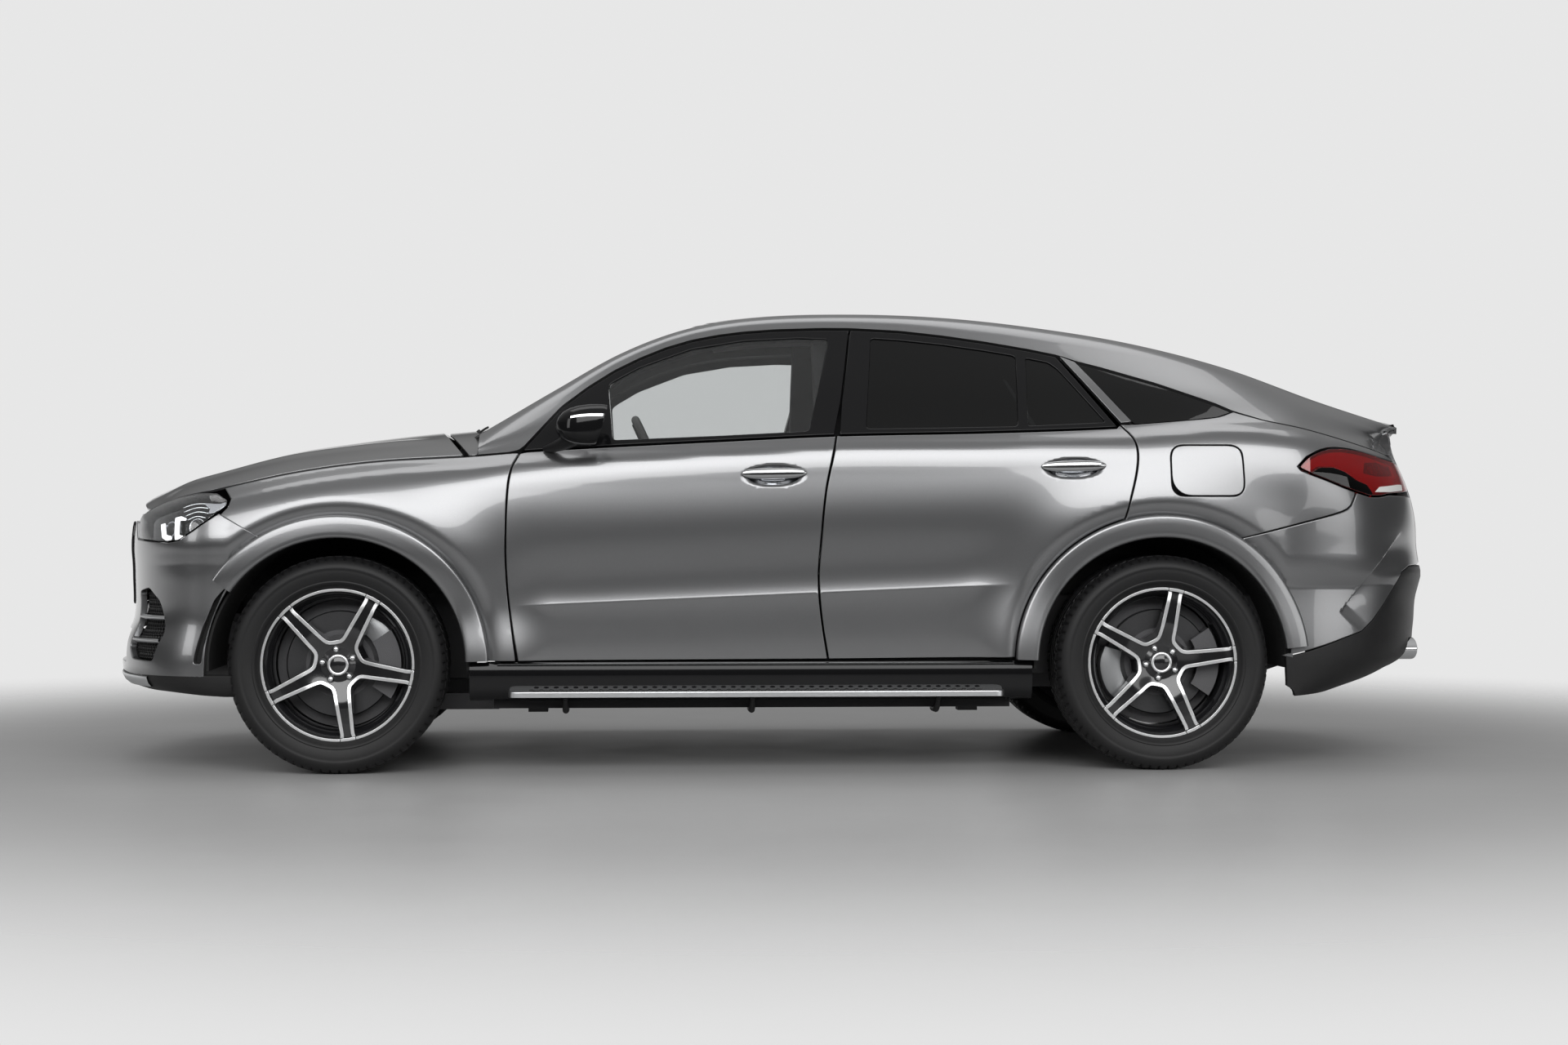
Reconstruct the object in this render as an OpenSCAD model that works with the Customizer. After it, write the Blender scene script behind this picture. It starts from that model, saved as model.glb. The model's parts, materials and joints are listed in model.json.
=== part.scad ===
// Coupe-roofed sport utility vehicle with opening doors, lids, steered and turning wheels.
// Nose toward +X, left side toward +Y, standing on Z = 0.
// Stations are millimetres behind the front axle on the lines plan, before any stretch.

/* [Overall] */
// Distance between the two axles
wheelbase = 2935; // [2750:5:3150]
// Front axle to the nose
front_overhang = 872; // [820:2:940]
// Rear axle to the tail
rear_overhang = 1132; // [1060:2:1220]
// Width over the wheel arch flares
body_w = 2014; // [1900:2:2100]
// Height of the roof above the floor
roof_h = 1690; // [1600:2:1760]

/* [Wheels] */
// Outer diameter of a tyre
tyre_d = 770; // [730:2:800]
// Width of a tyre
tyre_w = 275; // [245:5:295]
// Rim diameter over the flange
rim_d = 543; // [490:1:570]
// Rim width over the flanges
rim_w = 244; // [220:2:250]
// Distance between the front wheel centres
front_track = 1675; // [1640:1:1690]
// Distance between the rear wheel centres
rear_track = 1690; // [1650:1:1700]
// Number of spokes in a wheel
spokes = 5; // [4:1:9]
// Diameter of a brake disc
disc_d = 380; // [320:2:390]
// Radius of the spindle a wheel turns on
spindle_r = 32; // [24:1:36]
// Air between tyre and wheel arch
arch_gap = 77; // [60:1:90]
// Width of the flare band round an arch
flare_w = 66; // [40:1:80]

/* [Panels] */
// Shut gap round doors, lids and the fuel flap
shut_gap = 9; // [8:0.5:11]
// Thickness of a door below its window
door_t = 85; // [70:1:100]
// Thickness of door frames, pillars and rails
frame_t = 42; // [34:1:50]
// Thickness of bumper covers and fenders
cover_t = 30; // [24:1:40]
// Thickness of the hood, roof and lid
lid_t = 28; // [20:1:36]
// Thickness of a window pane
glass_t = 5; // [4:0.5:7]

/* [Fittings] */
// Radius of a hinge pin
pin_r = 5; // [4:0.5:6]
// Length of a door handle
handle_l = 235; // [180:5:260]
// Length of a running board
board_l = 1790; // [1500:10:1850]
// Width of a running board
board_w = 100; // [80:2:130]
// Steering wheel diameter
steer_d = 376; // [340:2:400]
// Width of a front seat
seat_w = 520; // [460:5:560]
// Width of a plate holder
plate_w = 520; // [300:5:530]
// Height of a plate holder
plate_h = 114; // [100:2:140]
// Distance between the two plate screws
plate_pitch = 300; // [200:5:320]
// Bore of the towing eye socket
tow_bore = 18; // [14:1:20]

/* [Hidden] */
$fn = 48;
front_axle_x = (wheelbase + rear_overhang - front_overhang) / 2;
rear_axle_x = front_axle_x - wheelbase;
axle_z = tyre_d / 2;
arch_r = axle_z + arch_gap;
flare_r = arch_r + flare_w;
belt_z = 1150;
front_y = front_track / 2;
rear_y = rear_track / 2;
rear_liner_y = rear_y - 217;
bench_half = rear_liner_y - 23;
// Stations where the plan starts to round toward the nose and the tail, and how square it is
nose_start = -380;
tail_start = 3385;
nose_power = 2.4;
tail_power = 2.6;

// Lines plan: [station, height, half width]
// Upper edge of the body side below the windows, and of the fenders
shoulder = [[-800, 900, 600], [-690, 935, 670], [-593, 972, 762], [-452, 1003, 840], [-163, 1067, 852],
    [116, 1106, 846], [451, 1126, 850], [640, 1141, 872], [970, 1160, 895], [1344, 1179, 903], [1776, 1200, 906],
    [2311, 1212, 900], [2823, 1233, 885], [3173, 1265, 852], [3450, 1250, 828], [3700, 1205, 800], [3950, 1180, 770]];
// Roof rail: where the side turns into the roof
rail = [[400, 1150, 800], [520, 1222, 770], [760, 1366, 728], [1000, 1503, 692], [1240, 1594, 662],
    [1500, 1638, 642], [1850, 1651, 630], [2200, 1640, 621], [2550, 1604, 613], [2900, 1548, 607],
    [3250, 1460, 604], [3600, 1336, 602], [3900, 1240, 596]];
// Crest of the hood along the middle
hood_crest = [[-812, 930], [-790, 962], [-740, 1002], [-600, 1056], [-475, 1090], [-236, 1156], [-28, 1190],
    [212, 1221], [480, 1248]];
// Half width of the body at the waist
waist = [[-700, 962], [0, 960], [600, 958], [1300, 959], [2200, 962], [2935, 967], [3400, 960], [4000, 948]];
// Nose and tail along the middle: [height, distance from the near axle]
nose = [[200, 560], [250, 720], [300, 838], [340, 872], [450, 868], [545, 830], [700, 826], [800, 830], [880, 824],
    [940, 804], [1000, 720], [1060, 640]];
tail = [[250, 640], [310, 880], [345, 975], [400, 1072], [500, 1098], [600, 1108], [690, 1132], [730, 1124], [800, 1112],
    [880, 1108], [960, 1092], [1040, 1062], [1150, 1012], [1240, 1006]];

// Shut lines and outlines: [station, height]
window_top = [[783, 1303], [876, 1374], [969, 1434], [1064, 1482], [1158, 1521], [1253, 1550], [1348, 1569],
    [1444, 1582], [1560, 1591], [1727, 1597], [1843, 1597], [2017, 1588], [2173, 1571], [2329, 1549], [2482, 1523],
    [2592, 1501]];
door_front = [[633, 395], [616, 485], [599, 615], [590, 744], [589, 831], [595, 998], [608, 1079], [636, 1137]];
door_split = [[1735, 398], [1712, 540], [1700, 685], [1709, 830], [1726, 1002], [1753, 1132], [1767, 1202],
    [1788, 1321], [1811, 1461], [1827, 1563], [1834, 1597]];
door_rear = [[2797, 898], [2815, 973], [2836, 1053], [2846, 1114], [2844, 1164], [2827, 1205], [2794, 1243]];
quarter_window = [[2668, 1472], [2742, 1455], [2951, 1394], [3160, 1318], [3215, 1294], [3160, 1276], [3029, 1262],
    [2850, 1247]];
front_window = [[967, 1184], [1344, 1200], [1668, 1217], [1715, 1400], [1752, 1560], [1640, 1563], [1444, 1552],
    [1253, 1520], [1064, 1451], [972, 1400], [950, 1384]];
rear_window_main = [[1874, 1226], [2120, 1230], [2424, 1236], [2440, 1500], [2329, 1519], [2173, 1541], [2017, 1557],
    [1908, 1564]];
rear_window_fixed = [[2460, 1238], [2745, 1252], [2590, 1452], [2560, 1476], [2476, 1493]];
head_lamp = [[-740, 905], [-690, 935], [-593, 973], [-500, 994], [-425, 994], [-380, 968], [-387, 947], [-437, 906],
    [-500, 862], [-555, 826], [-606, 818], [-740, 830]];
tail_lamp = [[3432, 1096], [3552, 1156], [3674, 1147], [3790, 1121], [4100, 1100], [4100, 1000], [3796, 993],
    [3706, 984], [3597, 1019], [3468, 1068]];
bumper_line = [[3222, 830], [3281, 846], [3433, 884], [3585, 924], [3624, 944], [3646, 986]];
valance_line = [[3380, 410], [3599, 469], [3677, 495], [3722, 531], [3782, 598], [3860, 705], [3900, 727],
    [4200, 727]];
fuel_lid = [[2990, 985], [3205, 985], [3228, 1010], [3222, 1142], [3195, 1164], [2990, 1164], [2966, 1140],
    [2966, 1008]];

// Design station to X, design height to Z, design half width to Y
function stretch(u) = u < 0 ? u * front_overhang / 872
    : u < 2935 ? u * wheelbase / 2935
    : wheelbase + (u - 2935) * rear_overhang / 1132;
function at(u) = front_axle_x - stretch(u);
function level(z) = z < belt_z ? z : belt_z + (z - belt_z) * (roof_h - belt_z) / (1690 - belt_z);
function half(y) = y * body_w / 2014;
function flat(pts) = [for (p = pts) [at(p[0]), level(p[1])]];

// Smooth curve through the rows of a table, k is the column that is read
function pace(t, i, k) = i == 0 ? (t[1][k] - t[0][k]) / (t[1][0] - t[0][0])
    : i == len(t) - 1 ? (t[i][k] - t[i - 1][k]) / (t[i][0] - t[i - 1][0])
    : (t[i + 1][k] - t[i - 1][k]) / (t[i + 1][0] - t[i - 1][0]);
function row(t, p) = max([for (i = [0 : len(t) - 2]) if (i == 0 || t[i][0] <= p) i]);
function clamp(v) = min(1, max(0, v));
function curve(t, p, k = 1) =
    let (i = row(t, p), w = t[i + 1][0] - t[i][0], f = clamp((p - t[i][0]) / w), a = t[i][k], b = t[i + 1][k])
    let (m = pace(t, i, k) * w, n = pace(t, i + 1, k) * w)
    a + f * (m + f * (3 * (b - a) - 2 * m - n + f * (2 * (a - b) + m + n)));

// Rounding of the plan toward nose and tail
function round_off(t, p) = pow(max(0, 1 - pow(clamp(t), p)), 1 / p);
function narrow(u, z) = u < nose_start ? round_off((u - nose_start) / (-curve(nose, z) - nose_start), nose_power)
    : u > tail_start ? round_off((u - tail_start) / (2935 + curve(tail, z) - tail_start), tail_power)
    : 1;

// Section of the body side at a station: [height, half width] from the sill to the roof rail
function section(u, round = true) =
    let (tz = curve(shoulder, u, 1), ty = curve(shoulder, u, 2), w = curve(waist, u))
    let (rz = curve(rail, u, 1), ry = curve(rail, u, 2), cz = 590 + 0.042 * (u - 620))
    let (low = [[150, w - 40], [390, w - 13], [cz, w - 27], [tz - 300, w], [tz - 150, w - 4],
        [tz - 55, ty + 0.68 * (w - ty)], [tz, ty]])
    let (n = [for (p = low) [p[0], p[1] * (round ? narrow(u, p[0]) : 1)]])
    concat(n, [[(tz + rz) / 2, (n[6][1] + ry) / 2 + 16], [rz, ry]]);
function swell(u, z) = max([for (a = [0, 2935])
    let (dx = stretch(u) - stretch(a), dz = level(z) - axle_z, r = sqrt(dx * dx + dz * dz))
    26 * exp(-pow(max(0, r - flare_r) / 105, 2))]);
function side_y(u, z) = half(curve(section(u), z) + swell(u, z));

// Top of roof and windscreen, and of the hood
function top_z(u, y) = level(curve(rail, u, 1) + 38 * (1 - pow(y / half(curve(rail, u, 2)), 2)));
function hood_z(u, y) = let (e = curve(shoulder, u, 1))
    level(e + (curve(hood_crest, u) - e) * (1 - pow(abs(y) / half(curve(shoulder, u, 2)), 2.3)));

function steps(a, b, n) = [for (i = [0 : n]) a + (b - a) * i / n];

// Closed solid between an outer grid of points and an inner one
module shell(a, b) {
    n = len(a) - 1;
    m = len(a[0]) - 1;
    k = (n + 1) * (m + 1);
    function id(i, j) = i * (m + 1) + j;
    polyhedron(
        points = [for (g = [a, b]) for (r = g) for (p = r) p],
        faces = concat(
            [for (i = [0 : n - 1]) for (j = [0 : m - 1]) each [
                [id(i, j), id(i + 1, j + 1), id(i + 1, j)],
                [id(i, j), id(i, j + 1), id(i + 1, j + 1)],
                [k + id(i, j), k + id(i + 1, j), k + id(i + 1, j + 1)],
                [k + id(i, j), k + id(i + 1, j + 1), k + id(i, j + 1)]]],
            [for (i = [0 : n - 1]) each [
                [id(i, 0), id(i + 1, 0), k + id(i + 1, 0)],
                [id(i, 0), k + id(i + 1, 0), k + id(i, 0)],
                [id(i + 1, m), id(i, m), k + id(i, m)],
                [id(i + 1, m), k + id(i, m), k + id(i + 1, m)]]],
            [for (j = [0 : m - 1]) each [
                [id(0, j + 1), id(0, j), k + id(0, j)],
                [id(0, j + 1), k + id(0, j), k + id(0, j + 1)],
                [id(n, j), id(n, j + 1), k + id(n, j + 1)],
                [id(n, j), k + id(n, j + 1), k + id(n, j)]]]));
}

// Free-form pieces are cut as one mesh
module formed() resize([0, 0, 0]) children();
module both() {
    children();
    mirror([0, 1, 0]) children();
}
// Outline in side view carried across the car from y0 to y1
module across(pts, y0 = 250, y1 = 1100, grow = 0)
    translate([0, y1, 0]) rotate([90, 0, 0]) linear_extrude(y1 - y0) offset(delta = grow) polygon(pts);
module box(a, b) translate([min(a[0], b[0]), min(a[1], b[1]), min(a[2], b[2])])
    cube([abs(a[0] - b[0]), abs(a[1] - b[1]), abs(a[2] - b[2])]);
module bar_y(x, y0, y1, z, r) translate([x, y0, z]) rotate([-90, 0, 0]) cylinder(r = r, h = y1 - y0);
module bar_z(x, y, z0, z1, r) translate([x, y, z0]) cylinder(r = r, h = z1 - z0);
module arches(r, y0 = 420) for (x = [front_axle_x, rear_axle_x]) bar_y(x, y0, 1100, axle_z, r);

// Left side as a slab: rows are shares of the height from z0 to the shoulder, then from there to the
// roof rail, set in by a, thick b below the shoulder and c above it
low_rows = [0, 0.25, 0.45, 0.62, 0.77, 0.88, 0.95, 1];
high_rows = [0.2, 0.5, 0.8, 1];
module side_slab(us, z0, low, high, a, b, c) {
    function grid(d0, d1) = [for (u = us)
        let (s = section(u), tz = s[6][0], rz = s[8][0])
        [for (z = concat([for (f = low) z0 + (tz - z0) * f], [for (f = high) tz + (rz - tz) * f]))
            [at(u), half(curve(s, z) + swell(u, z)) - d1 - (d0 - d1) * clamp((tz + 20 - z) / 70), level(z)]]];
    shell(grid(a, a), grid(a + b, a + c));
}
// Roof slab between two edge stations that bow by the middle
module top_slab(u0, bow0, u1, bow1, n, edge, a, t) {
    function grid(d) = [for (r = steps(0, 1, n)) [for (f = steps(1, -1, 8))
        let (u = (u0 - bow0 * (1 - f * f)) * (1 - r) + (u1 - bow1 * (1 - f * f)) * r)
        let (y = f * (half(curve(rail, u, 2)) - edge))
        [at(u), y, top_z(u, y) - d]]];
    shell(grid(a), grid(a + t));
}
// Wrap round the nose or the tail: knots below zero run along the side, angles above go round the end
function nose_pt(w, z, d) = w < 0 ? [at(nose_start - w), side_y(nose_start - w, z) - d]
    : let (e = 2 / nose_power, run = curve(nose, z) + nose_start)
    [at(nose_start - run * pow(sin(w), e)) - d * pow(sin(w), e), (side_y(nose_start, z) - d) * pow(cos(w), e)];
function tail_pt(w, z, d) = w < 0 ? [at(tail_start + w), side_y(tail_start + w, z) - d]
    : let (e = 2 / tail_power, run = 2935 + curve(tail, z) - tail_start)
    [at(tail_start + run * pow(sin(w), e)) + d * pow(sin(w), e), (side_y(tail_start, z) - d) * pow(cos(w), e)];
module nose_slab(kn, zs, a, t) {
    function half_turn(d, s) = [for (w = kn) [for (z = zs) let (p = nose_pt(w, z, d)) [p[0], s * p[1], level(z)]]];
    function grid(d) = let (l = half_turn(d, 1)) concat(half_turn(d, -1), [for (i = [len(kn) - 2 : -1 : 0]) l[i]]);
    shell(grid(a), grid(a + t));
}
module tail_slab(kn, zs, a, t) {
    function half_turn(d, s) = [for (w = kn) [for (z = zs) let (p = tail_pt(w, z, d)) [p[0], s * p[1], level(z)]]];
    function grid(d) = let (r = half_turn(d, -1)) concat(half_turn(d, 1), [for (i = [len(kn) - 2 : -1 : 0]) r[i]]);
    shell(grid(a), grid(a + t));
}

// Outlines of the doors with their shut lines in the middle of the gap
function before(t, u) = [for (p = t) if (p[0] < u) p];
function after(t, u) = [for (p = t) if (p[0] > u) p];
function back(t) = [for (i = [len(t) - 1 : -1 : 0]) t[i]];
function arc(x, r, a0, a1, n) = [for (a = steps(a0, a1, n)) [x + r * cos(a), axle_z + r * sin(a)]];
front_door_line = flat(concat(door_front, before(window_top, 1834), back(door_split)));
rear_door_line = concat(flat(concat(door_split, after(window_top, 1834), back(door_rear))),
    arc(rear_axle_x, flare_r + 3, 72, 2, 9));
front_hinge_u = 664;
rear_hinge_u = 1800;
hinge_zs = [800, 980];
// Outer face of the door post behind the front door
post_u = 1770;
post_y = side_y(post_u, 700) - 146;
function hinge_y(u) = min([for (z = hinge_zs) side_y(u, z)]) - 13.5;
hood_hinge = [470, 1105];
hood_hinge_y = 704;
gate_half = 590;
gate_hinge = [2966, 1538];
gate_hinge_y = 380;
flap_hinge_u = 2994;
flap_zs = [1012, 1122];
flap_ys = [for (z = flap_zs) side_y(flap_hinge_u, z) - 10];
flap_lean = atan((flap_ys[0] - flap_ys[1]) / (flap_zs[1] - flap_zs[0]));
roof_edge = frame_t + 0.5;
// Stations, knots and heights of the grids that neighbours share
side_us = concat(steps(486, 3290, 20), steps(3350, 3800, 6));
fender_us = steps(-440, 660, 12);
bumper_knots = concat([-154, -60], steps(0, 90, 9));
bumper_rows = [258, 300, 340, 450, 545, 700, 820, 896];
tail_knots = concat([-163, -60], steps(0, 90, 9));
rear_rows = [380, 500, 600, 690, 730, 800, 880, 984];

module doorway(grow) {
    across(front_door_line, 250, 1100, grow);
    across(rear_door_line, 250, 1100, grow);
}
// Bevel that lets the back edge of a door frame swing past what is behind it
module relief(line) {
    lean = 0.34;
    function foot(p, d) = [at(p[0] + d) - lean * (900 - side_y(p[0], p[1])), level(p[1])];
    multmatrix([[1, -lean, 0, lean * 900], [0, 1, 0, 0], [0, 0, 1, 0], [0, 0, 0, 1]])
        across(concat([for (p = line) foot(p, -shut_gap / 2)], back([for (p = line) foot(p, 150)])));
}
module door_ears(u) for (z = hinge_zs) translate([at(u), hinge_y(u), z]) difference() {
    union() {
        cylinder(r = pin_r + 4, h = 46, center = true, $fn = 24);
        translate([-45, -pin_r - 4, -23]) cube([45, 2 * pin_r + 8, 46]);
    }
    cylinder(r = pin_r + 0.4, h = 60, center = true, $fn = 24);
}
module hinge_room(u) for (z = hinge_zs) translate([at(u) - pin_r - 10, hinge_y(u) - 110, z - 42])
    cube([110, 110 + pin_r + 4, 84]);
module front_door() formed() union() {
    difference() {
        intersection() {
            side_slab(steps(575, 1850, 9), 380, low_rows, high_rows, 0, door_t, frame_t);
            across(front_door_line, 250, 1100, -shut_gap / 2);
        }
        across(flat(front_window));
        relief([[1760, 1165], [1767, 1202], [1788, 1321], [1811, 1461], [1827, 1563], [1840, 1640]]);
        hinge_room(front_hinge_u);
    }
    door_ears(front_hinge_u);
}
module rear_door() formed() union() {
    difference() {
        intersection() {
            side_slab(steps(1690, 2870, 10), 380, low_rows, high_rows, 0, door_t, frame_t);
            across(rear_door_line, 250, 1100, -shut_gap / 2);
        }
        across(flat(rear_window_main));
        across(flat(rear_window_fixed));
        relief([[2794, 1243], [2592, 1501], [2560, 1540]]);
        hinge_room(rear_hinge_u);
    }
    door_ears(rear_hinge_u);
}
module pane(us, lines) formed() for (l = lines) intersection() {
    side_slab(us, 1100, [0, 1], high_rows, 14, glass_t, glass_t);
    across(flat(l), 250, 1100, -0.4);
}
module handle(u, z) formed() intersection() {
    side_slab(steps(u - 150, u + 150, 3), z - 60, [0, 0.4, 0.8], [], -26, 25.6, 25.6);
    across([for (a = steps(0, 340, 17)) [at(u) + handle_l / 2 * cos(a), z + 19 * sin(a)]]);
}
module mirror_head() {
    y = side_y(845, 1130);
    hull() {
        translate([at(815), y + 84, 1236]) scale([0.6, 1, 0.86]) sphere(r = 84, $fn = 20);
        translate([at(905), y + 80, 1233]) scale([0.34, 1, 0.86]) sphere(r = 86, $fn = 20);
    }
    hull() {
        translate([at(850), side_y(845, 1126) + 9.6, 1139]) cube([70, 12, 24], center = true);
        translate([at(850), y + 70, 1185]) cube([60, 30, 30], center = true);
    }
}

module floor_pan() color("dimgray") {
    box([at(545), -868, 225], [at(2395), 868, 285]);
    both() box([at(560), 770, 285], [at(2390), 868, 386]);
    box([at(560), -690, 285], [at(600), 690, 1080]);
    box([at(600), -150, 285], [at(2300), 150, 430]);
    box([at(2300), -600, 285], [at(2340), 600, 560]);
    box([at(2300), -600, 520], [at(3840), 600, 560]);
    box([at(3800), -600, 470], [at(3840), 600, 700]);
    both() box([at(600), 640, 285], [at(685), 770, 1080]);
    both() translate([at(1840), 0, 0]) rotate([90, 0, 90]) linear_extrude(at(1700) - at(1840))
        polygon(concat([[770, 300], [post_y, 300], [post_y, 1040], [side_y(post_u, 1110) - 146, 1110]],
            [for (z = [1200, 1320, 1440, 1560]) [side_y(post_u, z) - frame_t - 30, level(z)]],
            [for (z = [1598, 1612]) [side_y(post_u, z) - frame_t - 2, level(z)]],
            [for (z = [1612, 1560, 1320, 1110]) [side_y(post_u, z) - (z > 1600 ? 90 : 190), level(z)]],
            [[post_y - 50, 1000], [post_y - 50, 300]]));
}
module hinge_pins() color("silver") {
    both() for (u = [front_hinge_u, rear_hinge_u]) for (z = hinge_zs) {
        y = hinge_y(u);
        bar_z(at(u), y, z - 34, z + 34, pin_r);
        for (s = [-1, 1]) box([at(u) - pin_r, u == front_hinge_u ? 770.3 : post_y + 0.3, z + s * 30 - 4],
            [at(u) + pin_r, y, z + s * 30 + 4]);
    }
    both() bar_y(at(hood_hinge[0]), hood_hinge_y - 13.7, hood_hinge_y + 14, level(hood_hinge[1]), pin_r);
    both() for (s = [-1, 1]) {
        zp = level(gate_hinge[1]);
        zb = top_z(2913, gate_hinge_y + 34) - lid_t - 51.6;
        bar_y(at(gate_hinge[0]), gate_hinge_y - 34, gate_hinge_y + 34, zp, pin_r);
        box([at(gate_hinge[0]) - pin_r, gate_hinge_y + s * 30 - 4, zb - 12],
            [at(gate_hinge[0]) + pin_r, gate_hinge_y + s * 30 + 4, zp]);
        box([at(gate_hinge[0]) - pin_r, gate_hinge_y + s * 30 - 4, zb - 12],
            [at(2880), gate_hinge_y + s * 30 + 4, zb]);
    }
    flap_pins() {
        cylinder(r = 2.5, h = 24, center = true);
        for (s = [-1, 1]) translate([-2.5, -37.4, s * 10 - 2]) cube([5, 37.4, 4]);
    }
}
// Stands at each pin of the fuel flap, with Z along the leaning pin
module flap_pins() for (i = [0, 1]) translate([at(flap_hinge_u), flap_ys[i], flap_zs[i]]) rotate([flap_lean, 0, 0])
    children();
module body_sides() color("gray") both() formed() difference() {
    side_slab(side_us, 395, low_rows, high_rows, 0, 70, frame_t);
    doorway(shut_gap / 2);
    across([[at(300), 300], [at(640), 300], [at(640), 1141.4], [at(451), 1126.4], [at(300), 1121]]);
    box([at(540), 250, 200], [at(2420), 1100, 400]);
    arches(arch_r);
    across(concat(flat(bumper_line), [[at(3830), level(1000)], [at(3830), 100], [at(3222), 100]]));
    across(flat(tail_lamp), 250, 1100, 1);
    across(flat(quarter_window));
    fuel_pocket();
    box([at(3560), 0, 1100], [at(3830), half(curve(rail, 3700, 2)) - frame_t - 0.2, 1500]);
}
module fuel_pocket() intersection() {
    side_slab(steps(2940, 3250, 4), 900, [0, 0.35, 0.7, 0.9], [], -30, 78, 78);
    across(flat(fuel_lid), 500, 1100, shut_gap);
}
module fuel_flap() color("gray") formed() union() {
    intersection() {
        side_slab(steps(2940, 3250, 4), 900, [0, 0.35, 0.7, 0.9], [], 0, 4, 4);
        across(flat(fuel_lid));
    }
    flap_pins() difference() {
        union() {
            cylinder(r = 5.5, h = 14, center = true, $fn = 20);
            translate([-5.5, 0, -7]) cube([11, 8, 14]);
        }
        cylinder(r = 2.9, h = 20, center = true, $fn = 20);
    }
}
module front_fenders() color("gray") both() formed() difference() {
    side_slab(fender_us, 395, low_rows, [], 0, cover_t, 6);
    doorway(shut_gap / 2);
    across([[at(-500), 1200], [at(-418), 1200], [at(-418), 912], [at(-411), 909], [at(-226), 808],
        [at(-226), 300], [at(-500), 300]]);
    across(flat(head_lamp), 250, 1100, 1);
    arches(arch_r);
}
module flare(x, a0, a1) intersection() {
    difference() {
        translate([x, 0, axle_z]) rotate([-90, 0, 0])
            rotate_extrude($fn = 64) polygon([[arch_r, half(900)], [arch_r, half(1001)], [arch_r + 10, half(1007)],
                [arch_r + flare_w * 0.75, half(1003)], [flare_r, half(994)], [flare_r, half(900)]]);
        children();
    }
    across(concat([[x, axle_z]], arc(x, 900, a0, a1, 8)), 800, 1100);
}
module arch_flares() color("gray") both() formed() union() {
    flare(front_axle_x, 34, 179) union() {
        side_slab(fender_us, 395, low_rows, [], -0.5, 200, 200);
        nose_slab(bumper_knots, bumper_rows, -1.2, 200);
    }
    flare(rear_axle_x, 1, 174) union() {
        side_slab(side_us, 395, low_rows, [], -0.3, 200, 200);
        rear_shell(rear_rows, -1.6, 200);
    }
}
module wheel_liners() color("black") both() for (w = [[front_axle_x, front_y - 359.5], [rear_axle_x, rear_liner_y]])
    translate([w[0], 0, axle_z]) rotate([-90, 0, 0]) difference() {
        union() {
            translate([0, 0, w[1]]) difference() {
                cylinder(r = arch_r - 1.5, h = half(925) - w[1]);
                translate([0, 0, 8]) cylinder(r = arch_r - 10, h = 900);
            }
        }
        translate([-900, -240, 0]) cube([1800, 1200, w[1] + 20]);
        translate([-900, 20, 0]) cube([1800, 1200, 1200]);
    }
module roof_panel() color("gray") formed() difference() {
    union() {
        top_slab(1336, 40, 2925, 24, 10, roof_edge, 0, lid_t);
        top_slab(2830, 24, 2918, 24, 2, roof_edge + 30, lid_t - 2, 54);
        top_slab(1345, 40, 1430, 40, 2, roof_edge + 30, lid_t - 2, 30);
    }
    gate_sweep();
}
// Room that the front edge of the liftgate sweeps round its hinge
module gate_sweep() translate([at(gate_hinge[0]), 0, level(gate_hinge[1])]) rotate([-90, 0, 0]) rotate_extrude()
    polygon(concat([[0, -600]], [for (f = steps(-1, 1, 12))
        let (y = f * 590, u = 2925 + shut_gap - 24 * (1 - f * f))
        [norm([at(gate_hinge[0]) - at(u), level(gate_hinge[1]) - top_z(u, y)]) + 6, y]], [[0, 600]]));
module windscreen() color("lightblue") formed() top_slab(500, 90, 1334, 40, 7, roof_edge, 2, 6);
module quarter_glass() color("black") both() pane(steps(2600, 3260, 5), [quarter_window]);
module cowl() color("black") {
    box([at(340), -660, 1060], [at(559.6), 660, 1100]);
    both() box([at(440), 640, 1060], [at(500), hood_hinge_y - 14, 1116]);
    translate([0, 540, 0]) rotate([90, 0, 0]) linear_extrude(1080)
        polygon([[at(396), 1090], [at(408), level(1183)], [at(500), level(1195)], [at(540), level(1195)],
            [at(540), 1090]]);
}
module nose_cut(p, grow = 0) translate([at(-1100), 0, 0]) rotate([90, 0, -90])
    linear_extrude(520) offset(delta = grow) polygon(p);
grille_line = [[-505, 905], [-520, 840], [-430, 590], [430, 590], [520, 840], [505, 905]];
intake_line = [[-560, 500], [-620, 380], [620, 380], [560, 500]];
module front_bumper() color("gray") formed() difference() {
    nose_slab(bumper_knots, bumper_rows, 0, cover_t);
    both() arches(arch_r);
    both() across(flat(head_lamp), 100, 1100, 1);
    both() across([[at(-226), 809], [at(-411), 910], [at(-411), 1000], [at(-100), 1000], [at(-100), 600],
        [at(-226), 600]], 100, 1100, 1);
    nose_cut(grille_line);
    nose_cut(intake_line);
    both() nose_cut([[700, 640], [690, 420], [840, 400], [850, 600]]);
}
module grille() color("black") formed() union() {
    intersection() {
        nose_slab(steps(30, 90, 6), [560, 700, 820, 926], 14, 12);
        nose_cut(grille_line, -0.4);
    }
    intersection() {
        nose_slab(steps(20, 90, 7), [350, 450, 530], 14, 12);
        nose_cut(intake_line, -0.4);
    }
    both() intersection() {
        nose_slab(concat([-60], steps(0, 90, 9)), [390, 450, 545, 660], 16, 10);
        nose_cut([[700, 640], [690, 420], [840, 400], [850, 600]], -0.4);
    }
    for (z = [640, 700, 760, 820, 870]) intersection() {
        nose_slab(steps(30, 90, 6), [z - 9, z + 9], 2, 20);
        nose_cut(grille_line, -0.4);
    }
}
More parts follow.
